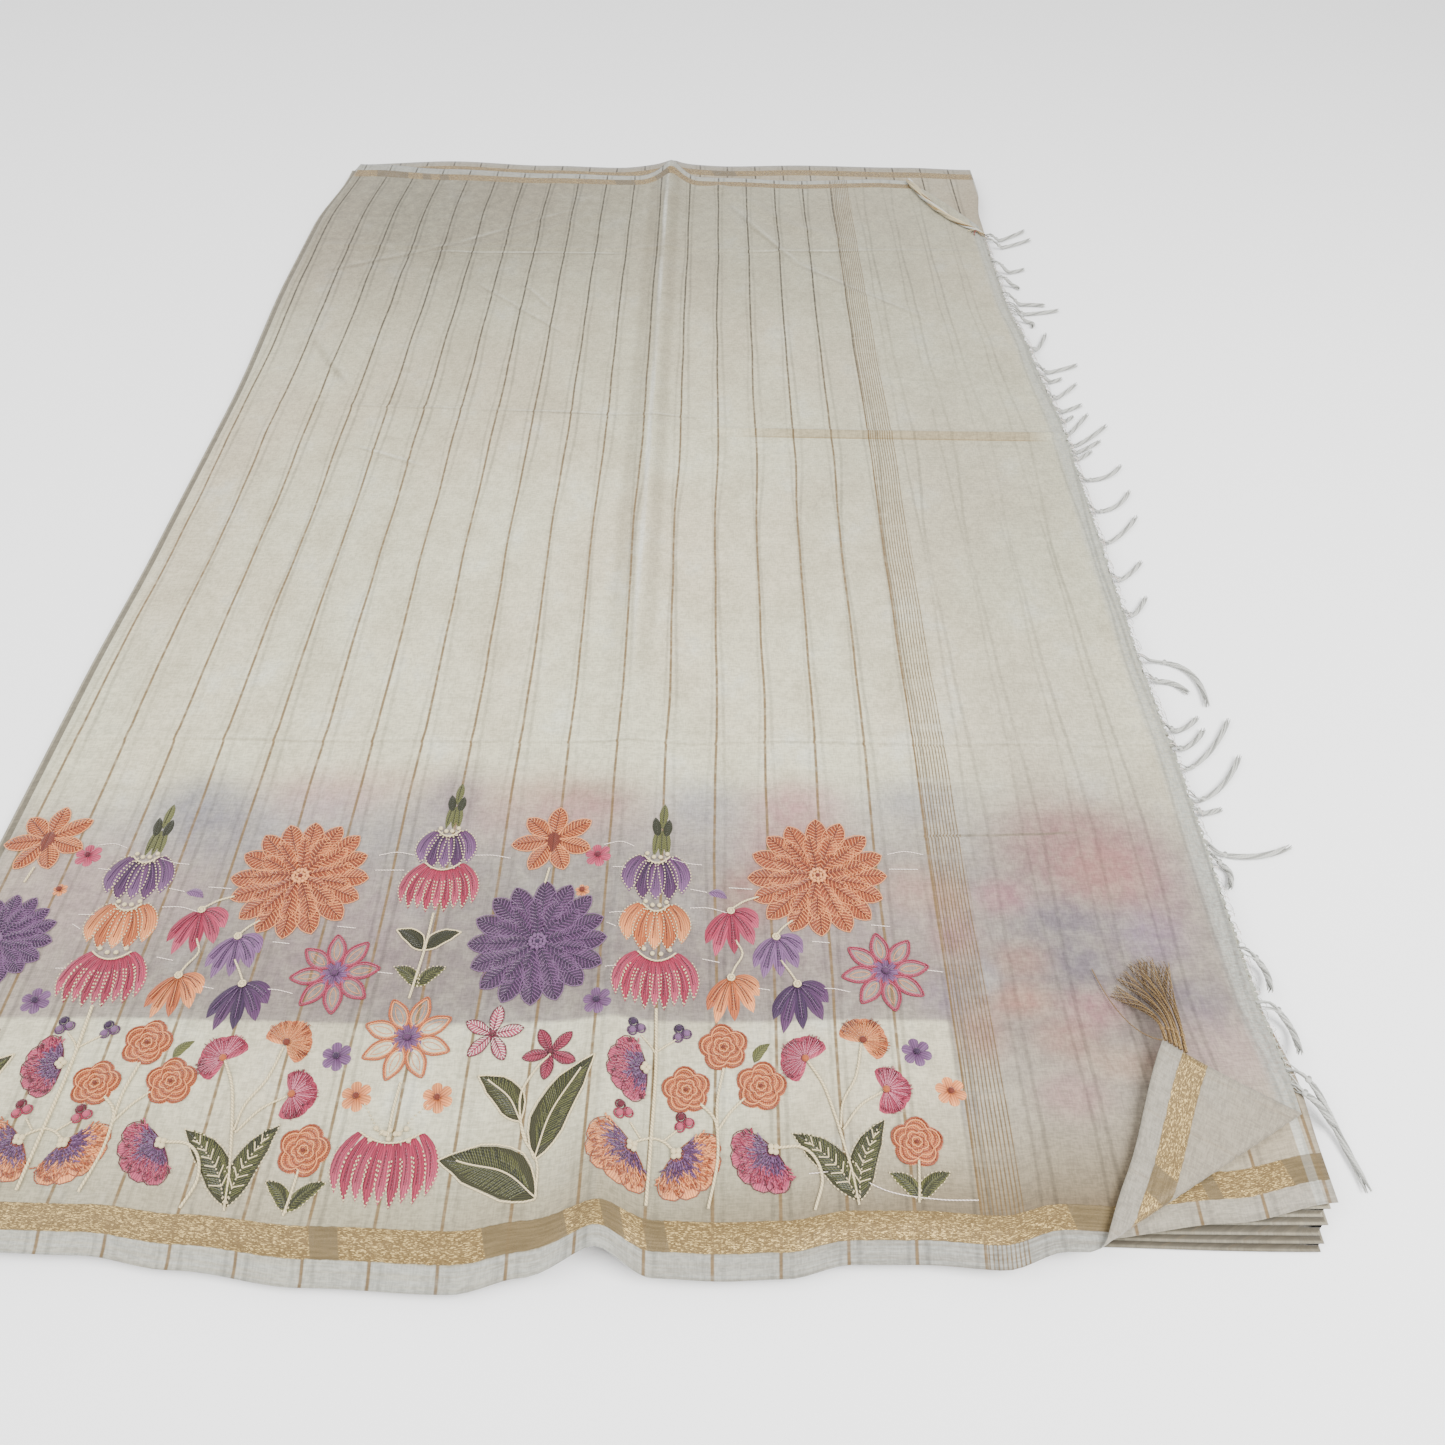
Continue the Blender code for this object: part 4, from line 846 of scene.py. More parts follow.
# The gold border comes a little nearer to the edge towards the turned corner
nearer = upper.step(upper.u, 0.228, 0.318, 0.0, 5.5 * MM)
nearer = upper.times(nearer, upper.step(upper.v, -0.5, -0.48, 1.0, 0.0))
upper.from_near = upper.calc("ADD", upper.from_near, nearer)
whiten_selvedges(upper, COOL_WHITE, 0.75)
weave_stripes(upper, 1.0, upper.step(upper.u, STRIPE_U + 0.5 * MM, STRIPE_U + 1.0 * MM, 1.0, 0.0))
weave_band(upper)
weave_grain(upper)
weave_zari(upper, PLAIN_ZARI)
upper_cloth = make_piece(
    "upper_cloth", top_points.reshape(-1, 3), grid_faces(len(rows_v), len(columns)), upper.finished(),
    np.stack([top_u, top_v], axis=-1).reshape(-1, 2),
)
# The lower layers that show through, and broad painted shade, as colours on the cloth's points
under = upper_cloth.data.color_attributes.new("seen_through_and_shade", "FLOAT_COLOR", "POINT")
under.data.foreach_set("color", under_colours_and_shade(top_u, top_v).astype(np.float32).ravel())
give_thickness(upper_cloth, wrong_side)
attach(upper_cloth, "root")
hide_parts("top_stretch")


# The embroidery
# Silk and wool thread flowers on cream stems, worked by hand through the upper stretch above
# its near border. Petals are feather or long stitches over padding, stems and outlines are
# cords couched down, bells are edged with seed stitches, and hearts and necks have knots.

# The border's repeat and reach along u, and the clear margins at its ends, in millimetres
REPEAT = 285
BORDER_LEFT = -364
BORDER_RIGHT = 166
STEM_MARGIN = 4
BEAD_MARGIN = 20
SMALLEST_FIT = 0.7
THREADS = {
    "orange": (200, 144, 102), "light_orange": (230, 186, 146), "dark_orange": (160, 98, 66),
    "purple": (140, 104, 140), "light_purple": (164, 136, 166), "dark_purple": (112, 80, 120),
    "pink": (184, 92, 122), "light_pink": (202, 130, 150), "dark_pink": (150, 60, 94),
    "green": (111, 110, 76), "light_green": (148, 149, 108), "dark_green": (96, 98, 68),
    "deep_orange": (186, 128, 92), "deep_purple": (120, 90, 122),
    "rose": (212, 162, 126), "peach": (230, 190, 152), "blush": (226, 178, 190),
    "cream": (226, 217, 193), "white": (240, 232, 226),
}
# Half width of a petal at shares of its length
PETAL_FORMS = {
    "oval": ((0, 0.1), (0.2, 0.62), (0.52, 1.0), (0.8, 0.74), (0.93, 0.36), (1, 0.0)),
    "strap": ((0, 0.66), (0.2, 0.92), (0.5, 1.0), (0.74, 0.86), (0.9, 0.42), (1, 0.0)),
    "lobe": ((0, 0.25), (0.35, 0.74), (0.72, 1.0), (0.9, 0.82), (1, 0.4)),
    "leaf": (
        (0, 0.06), (0.06, 0.38), (0.14, 0.66), (0.24, 0.92), (0.36, 1.0), (0.48, 0.9), (0.58, 0.88),
        (0.7, 0.8), (0.8, 0.54), (0.9, 0.32), (0.96, 0.15), (1, 0.0),
    ),
}
PETAL_RUNS = 12
PETAL_STRIPS = 6
PETAL_SUNK = 0.15
CORD_STEP = 1.8
SEED_SPACING = 2.0 * MM
TWIST_LENGTH = 1.7 * MM
# Half the width of a scallop on a half flower's rim, in degrees
HALF_SCALLOP = 14
chance = random.Random(11)
petal_store = {"feather": [], "long": []}
line_store = {"stems": [], "outlines": [], "barbs": [], "jump_threads": [], "seed_stitches": []}
knot_store = []


def smooth_run(places, step=CORD_STEP):
    """A smooth line through flat places, with a stop about every step."""
    places = list(places)
    ends = [2 * places[0] - places[1]] + places + [2 * places[-1] - places[-2]]
    runs = []
    for a, b, c, d in zip(ends, ends[1:], ends[2:], ends[3:]):
        count = max(1, round(abs(c - b) / step))
        t = np.arange(count) / count
        curve = 2 * b + (c - a) * t + (2 * a - 5 * b + 4 * c - d) * t ** 2 + (3 * b - a - 3 * c + d) * t ** 3
        runs.append(curve / 2)
    return np.append(np.concatenate(runs), places[-1])


def ways(count, turn=0.0):
    """Evenly turned directions, the first one up plus a turn in degrees."""
    return [1j * np.exp(1j * math.radians(turn + 360 * k / count)) for k in range(count)]


class Needle:
    """Works one motif. Its own places are complex numbers in millimetres, scaled, turned and moved."""

    def __init__(self, centre, turn=0.0, size=1.0):
        self.centre = centre
        self.size = size
        self.way = size * np.exp(1j * math.radians(turn))

    def at(self, places):
        """Places of the motif as flat places on the cloth."""
        return self.centre + self.way * np.asarray(places, complex)

    def petal(self, root, tip, width, form, colours, rise=0.8, bend=0.0, stitch="feather"):
        """One padded petal from its root to its tip. Gives its outline back, in the motif's own places."""
        s = (1 - np.cos(np.linspace(0, math.pi, PETAL_RUNS))) / 2
        side = 1j * (tip - root) / abs(tip - root)
        middle = root + (tip - root) * s + side * bend * 4 * s * (1 - s)
        shares, halves = zip(*PETAL_FORMS[form])
        half = np.interp(s, shares, halves) * width / 2
        t = np.linspace(-1, 1, PETAL_STRIPS + 1)
        places = middle[:, None] + side * half[:, None] * t
        crown = np.minimum(1.15 * np.sin(math.pi * np.clip(s, 0.02, 0.98)) ** 0.5, 1.0)
        lift = (rise + PETAL_SUNK) * crown[:, None] * (1 - t ** 2) ** 0.6 - PETAL_SUNK
        shift = chance.random() * 50
        flat = np.stack(np.broadcast_arrays(
            abs(tip - root) * s[:, None] + shift, half[:, None] * t * np.ones_like(places.real)
        ), axis=-1) * self.size * MM
        first, last = (np.array(dye(*THREADS[name])) for name in colours)
        tint = chance.uniform(0.88, 1.1)
        dyes = (first + (last - first) * s[:, None, None]) * np.ones((1, PETAL_STRIPS + 1, 1)) * tint
        petal_store[stitch].append((self.at(places), lift, flat, dyes))
        return np.concatenate([places[:, -1], places[::-1, 0], places[:1, -1]])

    def line(self, kind, places, thickness, colour, lift=0.1):
        """A cord or a row of seed stitches along places, lifted off the cloth in millimetres."""
        line_store[kind].append((self.at(places), lift + thickness / 2, thickness, colour))

    def stitch(self, near, far, thickness, colour, lift):
        """One straight stitch."""
        self.line("barbs", np.array([near, (near + far) / 2, far]), thickness, colour, lift)

    def knot(self, place, size, colour, lift=0.0):
        """A knot of thread."""
        knot_store.append((self.at([place])[0], lift + size * 0.3, size, colour))


def loop(radius, lobes=0, depth=0.0, stops=24, turn=0.0):
    """A closed round line, scalloped where it has lobes."""
    angles = np.linspace(0, 2 * math.pi, stops + 1)
    reach = radius * (1 - depth * (1 - np.abs(np.cos(angles * lobes / 2))))
    return reach * 1j * np.exp(1j * (angles + math.radians(turn)))


def way_at(angle):
    """A direction turned so many degrees to the right of up."""
    return 1j * np.exp(-1j * math.radians(angle))


def barbs(needle, root, tip, width, count, thickness, colour, rise, bend=0.0):
    """Slanting stitches over both halves of a petal that rises from the cloth."""
    side = 1j * (tip - root) / abs(tip - root)
    lift = rise * np.array([0.97, 0.9, 0.5]) - thickness * 0.5
    for share in np.linspace(0.1, 0.84, count):
        foot = root + (tip - root) * share + side * bend * 4 * share * (1 - share)
        broad = width * 0.43 * math.sin(math.pi * min(share + 0.12, 1.0)) ** 0.7
        for sign in (1, -1):
            end = foot + (tip - root) * 0.12 + side * sign * broad * chance.uniform(0.85, 1.05)
            start = foot + side * sign * 0.35
            needle.stitch(start, end, thickness, colour, lift)


def dahlia(needle, width, height, tone):
    """Three rings of pointed petals in feather stitch round a ring of knots."""
    radius = width / 2
    rings = (
        (16, 0, 0.36, 1.0, 0.34, 0.8, 10),
        (13, 9, 0.2, 0.74, 0.28, 1.2, 8),
        (9, 5, 0.05, 0.48, 0.25, 1.65, 6),
    )
    for count, turn, inner, outer, broad, rise, pairs in rings:
        for way in ways(count, turn):
            reach = outer * chance.uniform(0.93, 1.0)
            way = way * np.exp(1j * chance.uniform(-0.03, 0.03))
            root, tip = way * radius * inner, way * radius * reach
            colours = ("dark_" + tone, "deep_" + tone)
            edge = needle.petal(root, tip, radius * broad, "oval", colours, rise, chance.uniform(-0.8, 0.8))
            needle.line("outlines", edge, 0.6, "light_" + tone, rise * 0.3)
            middle = np.array([root + (tip - root) * 0.15, (root + tip) / 2, root + (tip - root) * 0.86])
            needle.line("outlines", middle, 0.5, "dark_" + tone, rise * 0.9)
            foot = root * 0.97 + tip * 0.03
            barbs(needle, root, tip, radius * broad, pairs, 0.7, tone, rise)
            barbs(needle, foot, tip, radius * broad, pairs, 0.5, "light_" + tone, rise + 0.15)
    heart = "peach" if tone == "orange" else "light_purple"
    for way in ways(12):
        needle.knot(way * radius * 0.1, 2.2, heart, 1.1)
    for way in ways(6):
        needle.knot(way * radius * 0.05, 2.0, heart, 1.0)
    needle.knot(0, 2.6, "dark_" + tone, 1.3)


def seven_petals(needle, width, height, tone):
    """Seven pointed petals round a raised bud."""
    radius = width / 2
    for way, reach in zip(ways(7, -5), (1.0, 0.97, 1.03, 1.0, 0.93, 0.97, 1.06)):
        root, tip = way * radius * 0.12, way * radius * reach
        edge = needle.petal(root, tip, radius * 0.5, "oval", ("deep_" + tone, "deep_" + tone), 0.85)
        needle.line("outlines", edge, 0.7, "light_" + tone, 0.25)
        needle.line("outlines", smooth_run([tip * 0.25, tip * 0.85], 3), 0.5, "dark_" + tone, 0.8)
        barbs(needle, root, tip, radius * 0.5, 9, 0.9, tone, 0.85)
        barbs(needle, root * 0.97 + tip * 0.03, tip, radius * 0.5, 9, 0.6, "light_" + tone, 1.0)
    colours = ("dark_" + tone, "dark_" + tone)
    edge = needle.petal(-0.48j * radius, 0.34j * radius, radius * 0.46, "oval", colours, 1.4)
    needle.line("outlines", edge, 0.4, tone, 0.5)


def petal_loop(root, tip, width):
    """A closed pointed oval."""
    side = 1j * (tip - root) / abs(tip - root)
    stops = [root]
    for sign, shares in ((1, (0.25, 0.58, 0.85)), (-1, (0.85, 0.58, 0.25))):
        for share in shares:
            half = width / 2 * math.sin(math.pi * share ** 0.9) ** 0.8
            stops.append(root + (tip - root) * share + side * sign * half)
        stops.append(tip if sign > 0 else root)
    return smooth_run(stops, 1.5)


def daisy(needle, width, height, tone):
    """Eight petals of doubled cord round bare cloth, with a small flower at the heart."""
    radius = width / 2
    for way in ways(8, 8):
        root, tip = way * radius * 0.2, way * radius
        run = tip - root
        for start, end, broad, thickness, colour, lift in (
            (0.0, 0.0, 0.42, 0.95, tone, 0.05),
            (0.06, 0.07, 0.33, 0.85, "light_" + tone, 0.05),
            (0.2, 0.22, 0.14, 0.4, "peach", 0.0),
        ):
            edge = petal_loop(root + run * start, tip - run * end, radius * broad)
            needle.line("outlines", edge, thickness, colour, lift)
    colours = ("purple", "light_purple")
    for way in ways(8):
        needle.petal(way * 0.6, way * radius * 0.34, radius * 0.2, "lobe", colours, 1.0, stitch="long")
    needle.knot(0, 3.8, "purple", 0.6)


def star(needle, width, height, tone):
    """Five long-stitched petals with a dark edge."""
    radius = width / 2
    pale = tone == "light_pink"
    fill = ("light_pink", "light_pink") if pale else ("dark_pink", "pink")
    for way in ways(5, -8):
        tip = way * radius
        edge = needle.petal(tip * 0.05, tip, radius * 0.46, "oval", fill, 0.85)
        needle.line("outlines", edge, 0.55, "dark_pink", 0.15)
        needle.line("outlines", smooth_run([tip * 0.12, tip * 0.55], 3), 0.45, "dark_pink", 0.85)
        barbs(needle, tip * 0.05, tip, radius * 0.46, 8, 0.45, "white" if pale else "light_pink", 0.85)
    needle.knot(0, 1.8, "dark_pink", 0.9)


def floret(needle, width, height, tone):
    """Six small lobes round a knot."""
    radius = width / 2
    for way in ways(6, 12):
        colours = (tone, "light_" + tone)
        needle.petal(way * radius * 0.05, way * radius, radius * 0.78, "lobe", colours, 0.8, stitch="long")
    needle.knot(0, 3.2, "dark_" + tone, 0.7)


def rose(needle, width, height, tone):
    """A lobed plate with rounds of cord on it."""
    radius = width / 2
    turn = chance.uniform(-12, 12)
    for way in ways(5, turn):
        needle.petal(way * radius * 0.02, way * radius * 0.97, radius * 1.1, "lobe", ("rose", "rose"), 0.5)
    rounds = (
        (0.98, 1.0, "deep_orange", 0), (0.87, 0.8, "light_orange", 3), (0.75, 0.7, "deep_orange", 8),
        (0.66, 0.7, "light_orange", 22), (0.54, 0.7, "deep_orange", 32), (0.43, 0.7, "peach", 40),
        (0.31, 0.7, "deep_orange", 15), (0.2, 0.7, "peach", 50),
    )
    for share, thickness, colour, offset in rounds:
        line = loop(radius * share, 5, 0.24, 30, turn + offset)
        needle.line("outlines", line, thickness, colour, 0.42 if share < 0.9 else 0.1)
    needle.knot(0, 2.0, "dark_orange", 0.6)


def bell(needle, width, height, tone, straps=5, neck=0.19, beads=True):
    """Straps hanging from a cream arc, each edged with seed stitches, and beads above the arc."""
    pale = "light_" + tone
    deep = "dark_" + tone if tone == "purple" else tone

    def on_arc(f):
        """A place on the cream arc, from -1 at its left end to 1."""
        return complex(neck * width * f, height * (0.33 + 0.14 * f * f))

    few = straps < 7
    spread, fullness = (0.38, 1.38) if few else (0.43, 1.25)
    for k in sorted(range(straps), key=lambda k: k % 2 == 0):
        f = 2 * k / (straps - 1) - 1
        under = k % 2 == 1
        tip = complex(width * spread * f, height * (0.13 * f * f - (0.5 if under else 0.45)))
        root = on_arc(f)
        colours = (deep, tone) if under else (tone, pale)
        bow = f * width * 0.09
        broad = width * fullness / straps
        edge = needle.petal(root, tip, broad, "strap", colours, 0.62 if under else 0.85, bow, "long")
        side = 1j * (tip - root) / abs(tip - root)
        for aside, colour in ((-0.14, "dark_" + tone), (0.16, pale)):
            s = np.array((0.12, 0.4, 0.72))
            stops = root + (tip - root) * s + side * (bow * 4 * s * (1 - s) + aside * broad * s)
            needle.line("outlines", smooth_run(stops, 3), 0.42, colour, 0.6 if under else 0.8)
        middle = (root + tip) / 2 + side * bow * 0.6
        hem = edge if few else edge[4:-5]
        needle.line("seed_stitches", middle + (hem - middle) * 0.95, 0.95, "cream", 0.4)
    arc = [on_arc(f) for f in np.linspace(-1, 1, 9)]
    needle.line("stems", smooth_run(arc), 1.0, "cream", 0.5)
    for share, rise in ((-0.15, 0.52), (-0.05, 0.45), (0.05, 0.45), (0.15, 0.52)) if beads else ():
        needle.knot(complex(width * share, height * rise), 2.6, "cream", 0.3)


def wide_bell(needle, width, height, tone):
    """A full bell of nine straps."""
    bell(needle, width, height, tone, 9, 0.22)


def under_bell(needle, width, height, tone):
    """A full bell under another one, so without beads."""
    bell(needle, width, height, tone, 9, 0.22, False)


def fan(needle, width, height, tone):
    """A full bell with a wide neck."""
    bell(needle, width, height, tone, 9, 0.3)


def tulip(needle, width, height, tone):
    """Five petals that hang from a ring of cream cord, with paler and darker streaks."""
    plain = tone.replace("dark_", "").replace("light_", "")
    last = "light_" + plain if tone != "dark_purple" else "purple"
    streak = {"pink": "light_pink", "orange": "light_orange"}.get(tone, "light_purple")
    petals = ((55, 0.66, 0.4), (-34, 0.86, 0.3), (4, 0.93, 0.28), (30, 0.85, 0.32), (-17, 1.0, 0.28))
    for angle, share, broad in petals:
        way = way_at(180 - angle)
        tip = way * height * share * chance.uniform(0.96, 1.03)
        bow = width * 0.1 * angle / 55
        colours = (tone, tone if angle in (4, -34) else last)
        needle.petal(way * 1.2, tip, width * broad, "strap", colours, 0.8, bow, "long")
        side = 1j * tip / abs(tip)
        for aside, colour in ((-0.16, "dark_" + plain), (0.02, streak), (0.2, "dark_" + plain)):
            s = np.array((0.12, 0.4, 0.76))
            stops = tip * s + side * (bow * 4 * s * (1 - s) + aside * width * broad * s)
            needle.line("outlines", smooth_run(stops, 3), 0.45, colour, 0.78)
    needle.line("stems", loop(1.7, stops=12), 1.1, "cream", 0.6)
    needle.knot(0, 2.2, "cream", 0.5)


def rays(needle, reach, middle, half_angle, count, thickness, colours, lift, start=0.25, round_off=0.2):
    """Straight stitches that spread from a neck, shorter at both sides."""
    for k in range(count):
        share = 2 * (k + 0.5 + chance.uniform(-0.3, 0.3)) / count - 1
        way = way_at(middle + share * half_angle)
        far = way * reach * (1 - round_off * share * share) * chance.uniform(0.9, 1.05)
        near = way * reach * start * chance.uniform(0.8, 1.2)
        needle.stitch(near, far, thickness, chance.choice(colours), lift)


def carnation(needle, width, height, tone):
    """A three-lobed fringed blossom with pale rays and a knot where its stem starts."""
    reach = width / 2
    pale, deep = "light_" + tone, "dark_" + tone
    glow = ("peach", pale, "rose") if tone == "orange" else ("blush", pale, "blush")
    for angle in (-74, 74, 0):
        way = way_at(angle)
        needle.petal(way * 0.3, way * reach * 0.95, reach * 1.25, "lobe", (pale, tone), 0.75, stitch="long")
        rays(needle, reach * 1.02, angle, 38, 26, 0.5, (deep, tone, pale), 0.62, 0.66, 0.32)
        rays(needle, reach * 0.88, angle, 37, 13, 0.3, glow, 1.2, 0.22, 0.3)
    needle.knot(0, 3.8, "dark_orange" if tone == "orange" else "orange", 0.5)


def half_flower(needle, width, height, tone):
    """A shaggy half flower, purple at the neck, with four cream knots."""
    reach = height * 1.04
    pale = "light_" + tone
    deep = "deep_orange" if tone == "orange" else "dark_pink"
    for angle in (-56, 56, -28, 28, 0):
        way = way_at(angle)
        edge = needle.petal(way, way * reach, reach * 0.62, "lobe", ("purple", pale), 0.6, stitch="long")
        needle.line("outlines", edge, 0.5, deep, 0.1)
    rings = (
        (0.2, ("purple", "light_purple")), (0.3, ("purple", "purple", "light_purple")),
        (0.4, ("purple", "purple", "light_purple")), (0.5, ("purple", pale, "light_purple")),
        (0.6, (tone, pale, "light_purple")), (0.71, (tone, pale, pale)), (0.82, (deep, tone, pale)),
    )
    for share, colours in rings:
        count = round(18 + 26 * share)
        for k in range(count):
            angle = 84 * (2 * (k + chance.uniform(0.1, 0.9)) / count - 1)
            rim = 1 - 0.13 * abs(math.sin(math.radians(angle * 90 / HALF_SCALLOP / 2)))
            near = way_at(angle) * reach * share * rim
            far = way_at(angle + chance.uniform(-8, 8)) * reach * (share + 0.13) * rim
            needle.stitch(near, far, 0.85, chance.choice(colours), 0.58)
    for place in (-1.7, 1.7, 1.3j, -1.7j):
        needle.knot(place, 2.9, "cream", 0.6)


def leaf(needle, width, height, edging):
    """A leaf from its base to its tip, edged with cord, seed stitches or nothing."""
    root, tip = -width / 2, width / 2
    fills = {"dark": "dark_green", "light": "light_green", "bare": "light_green", "purple": "light_purple"}
    fill = fills.get(edging, "green")
    bend = height * (0.26 if needle.way.real > 0 else -0.26)
    edge = needle.petal(root, tip, height, "leaf", (fill, fill), 0.85, bend)
    middle = smooth_run([root, complex(-width * 0.1, bend * 0.95), complex(width * 0.34, bend * 0.55)], 3)
    if edging not in ("bare", "purple"):
        colour = "light_green" if fill == "green" else "green"
        count = max(5, round(width / 1.7))
        foot, end = root * 0.98 + tip * 0.02, tip * 0.94
        barbs(needle, root, end, height * 0.86, count, 0.6, colour, 0.85, bend)
        barbs(needle, foot, end, height * 0.8, count, 0.6, "dark_green", 0.85, bend)
    if edging in ("cord", "dark"):
        needle.line("stems", edge, 0.9, "cream", 0.05)
        if edging == "cord":
            needle.line("stems", middle, 0.85, "cream", 0.8)
    elif edging == "seeds":
        needle.line("seed_stitches", edge, 1.0, "cream", 0.05)
        needle.line("seed_stitches", middle, 0.9, "cream", 0.75)
        for share in np.arange(0.2, 0.85, 0.11):
            for side in (1, -1):
                foot = root + (tip - root) * share + 1j * bend * 4 * share * (1 - share) * 0.95
                end = foot + complex(width * 0.08, side * height * 0.32 * (1.15 - share))
                needle.line("stems", smooth_run([foot, end], 3), 0.6, "cream", 0.72)
    elif edging == "light":
        needle.line("seed_stitches", edge, 0.9, "cream", 0.05)


def bud(needle, width, height, tone):
    """Green bud leaves above a bell."""
    for x0, y0, x1, y1, broad, shade, rise in (
        (-0.3, -0.5, -0.14, 0.04, 0.42, "light", 0.6), (0.3, -0.5, 0.16, 0.04, 0.42, "light", 0.6),
        (0.0, -0.5, 0.02, 0.0, 0.34, "light", 0.7), (-0.14, -0.18, -0.3, 0.24, 0.46, "dark", 0.9),
        (0.18, -0.18, 0.32, 0.2, 0.46, "dark", 0.9), (0.02, 0.02, 0.1, 0.5, 0.46, "light", 0.9),
    ):
        root, tip = complex(x0 * width, y0 * height), complex(x1 * width, y1 * height)
        colour = f"{shade}_{tone}"
        needle.petal(root, tip, broad * width, "oval", (colour, colour), rise)
        vein = smooth_run([root + (tip - root) * 0.2, root + (tip - root) * 0.8], 3)
        needle.line("outlines", vein, 0.4, tone, rise * 0.9)


def berry(needle, width, height, tone):
    """Three round knots, each in a ring of cord."""
    for k, way in enumerate(ways(3, 25)):
        colour = ("dark_" if k == 0 else "light_") + tone
        place = way * width * 0.25
        needle.knot(place, 3.6, colour, 0.1)
        needle.line("outlines", loop(2.3, stops=12) + place, 0.9, tone if k else "dark_" + tone, 0.0)


# One repeat: motif, its place, width, height, turn in degrees, and tone or edging
MOTIFS = (
    (bud, -271, -335, 13, 37, 0, "green"),
    (wide_bell, -271, -431, 46, 34, 0, "pink"),
    (bell, -272.5, -399.5, 38, 30, 0, "orange"),
    (bell, -273, -368.5, 38, 31, 0, "purple"),
    (dahlia, -184, -367, 79, 79, 0, "orange"),
    (dahlia, -49, -408, 77, 77, 0, "purple"),
    (seven_petals, -47, -342, 46, 46, 0, "orange"),
    (bud, -106, -317, 12, 33, 0, "green"),
    (under_bell, -107, -373, 45, 33, 0, "pink"),
    (bell, -107, -348.5, 34, 28, 0, "purple"),
    (leaf, -117, -406, 20, 9, 143, "dark"),
    (leaf, -99.5, -406.5, 21, 9, 30, "dark"),
    (leaf, -115, -427.5, 18, 8, 142, "light"),
    (leaf, -101.5, -427.5, 17, 8, 40, "light"),
    (tulip, -232, -389, 28, 28, 0, "pink"),
    (tulip, -208, -405, 27, 26, 0, "light_purple"),
    (tulip, -232, -429, 26, 26, 0, "orange"),
    (tulip, -198, -433, 27, 28, 0, "dark_purple"),
    (floret, -306, -353, 15, 15, 0, "pink"),
    (daisy, -152, -426, 46, 46, 0, "pink"),
    (daisy, -108, -461, 46, 46, 20, "orange"),
    (star, -66, -459, 31, 31, 0, "light_pink"),
    (star, -36, -470, 28, 28, 36, "dark_pink"),
    (floret, -15, -444, 15, 15, 0, "purple"),
    (floret, -141, -471, 15, 15, 0, "purple"),
    (floret, -127, -491, 15, 15, 0, "orange"),
    (floret, -88, -491, 15, 15, 0, "orange"),
    (floret, -313, -376, 8, 8, 0, "orange"),
    (leaf, -239, -379, 11, 6, -20, "purple"),
    (leaf, -217, -470, 13, 6, 50, "bare"),
    (rose, -236, -467, 25, 23, 0, "orange"),
    (rose, -254, -489, 24, 22, 0, "orange"),
    (rose, -218, -487, 25, 22, 0, "orange"),
    (carnation, -196, -474, 26, 26, 48, "pink"),
    (carnation, -167, -465, 26, 26, -35, "orange"),
    (carnation, -158, -491, 25, 25, -88, "pink"),
    (leaf, -189.5, -527.5, 45, 15, 130, "seeds"),
    (leaf, -167.5, -525.5, 42, 14, 69, "seeds"),
    (half_flower, -213, -518, 22, 19, 131, "pink"),
    (rose, -146, -517, 25, 23, 0, "orange"),
    (leaf, -153.5, -538, 18, 8, 137, "light"),
    (leaf, -139.5, -537.5, 20, 8, 41, "light"),
    (fan, -107, -524.5, 48, 35, 0, "pink"),
    (leaf, -26, -498, 54, 19, 63, "cord"),
    (leaf, -58.5, -492, 33, 14, 134, "cord"),
    (leaf, -59.5, -530, 51, 23, 157, "cord"),
    (half_flower, -279, -519, 24, 20, 130, "orange"),
    (half_flower, -258, -520, 24, 20, -131, "orange"),
    (half_flower, -274, -479, 22, 18, 100, "pink"),
    (berry, -284, -503, 11, 11, 0, "pink"),
    (berry, -255, -505, 11, 11, 0, "pink"),
    (berry, -280, -458, 11, 11, 0, "purple"),
    (berry, -257, -460, 11, 11, 0, "purple"),
)
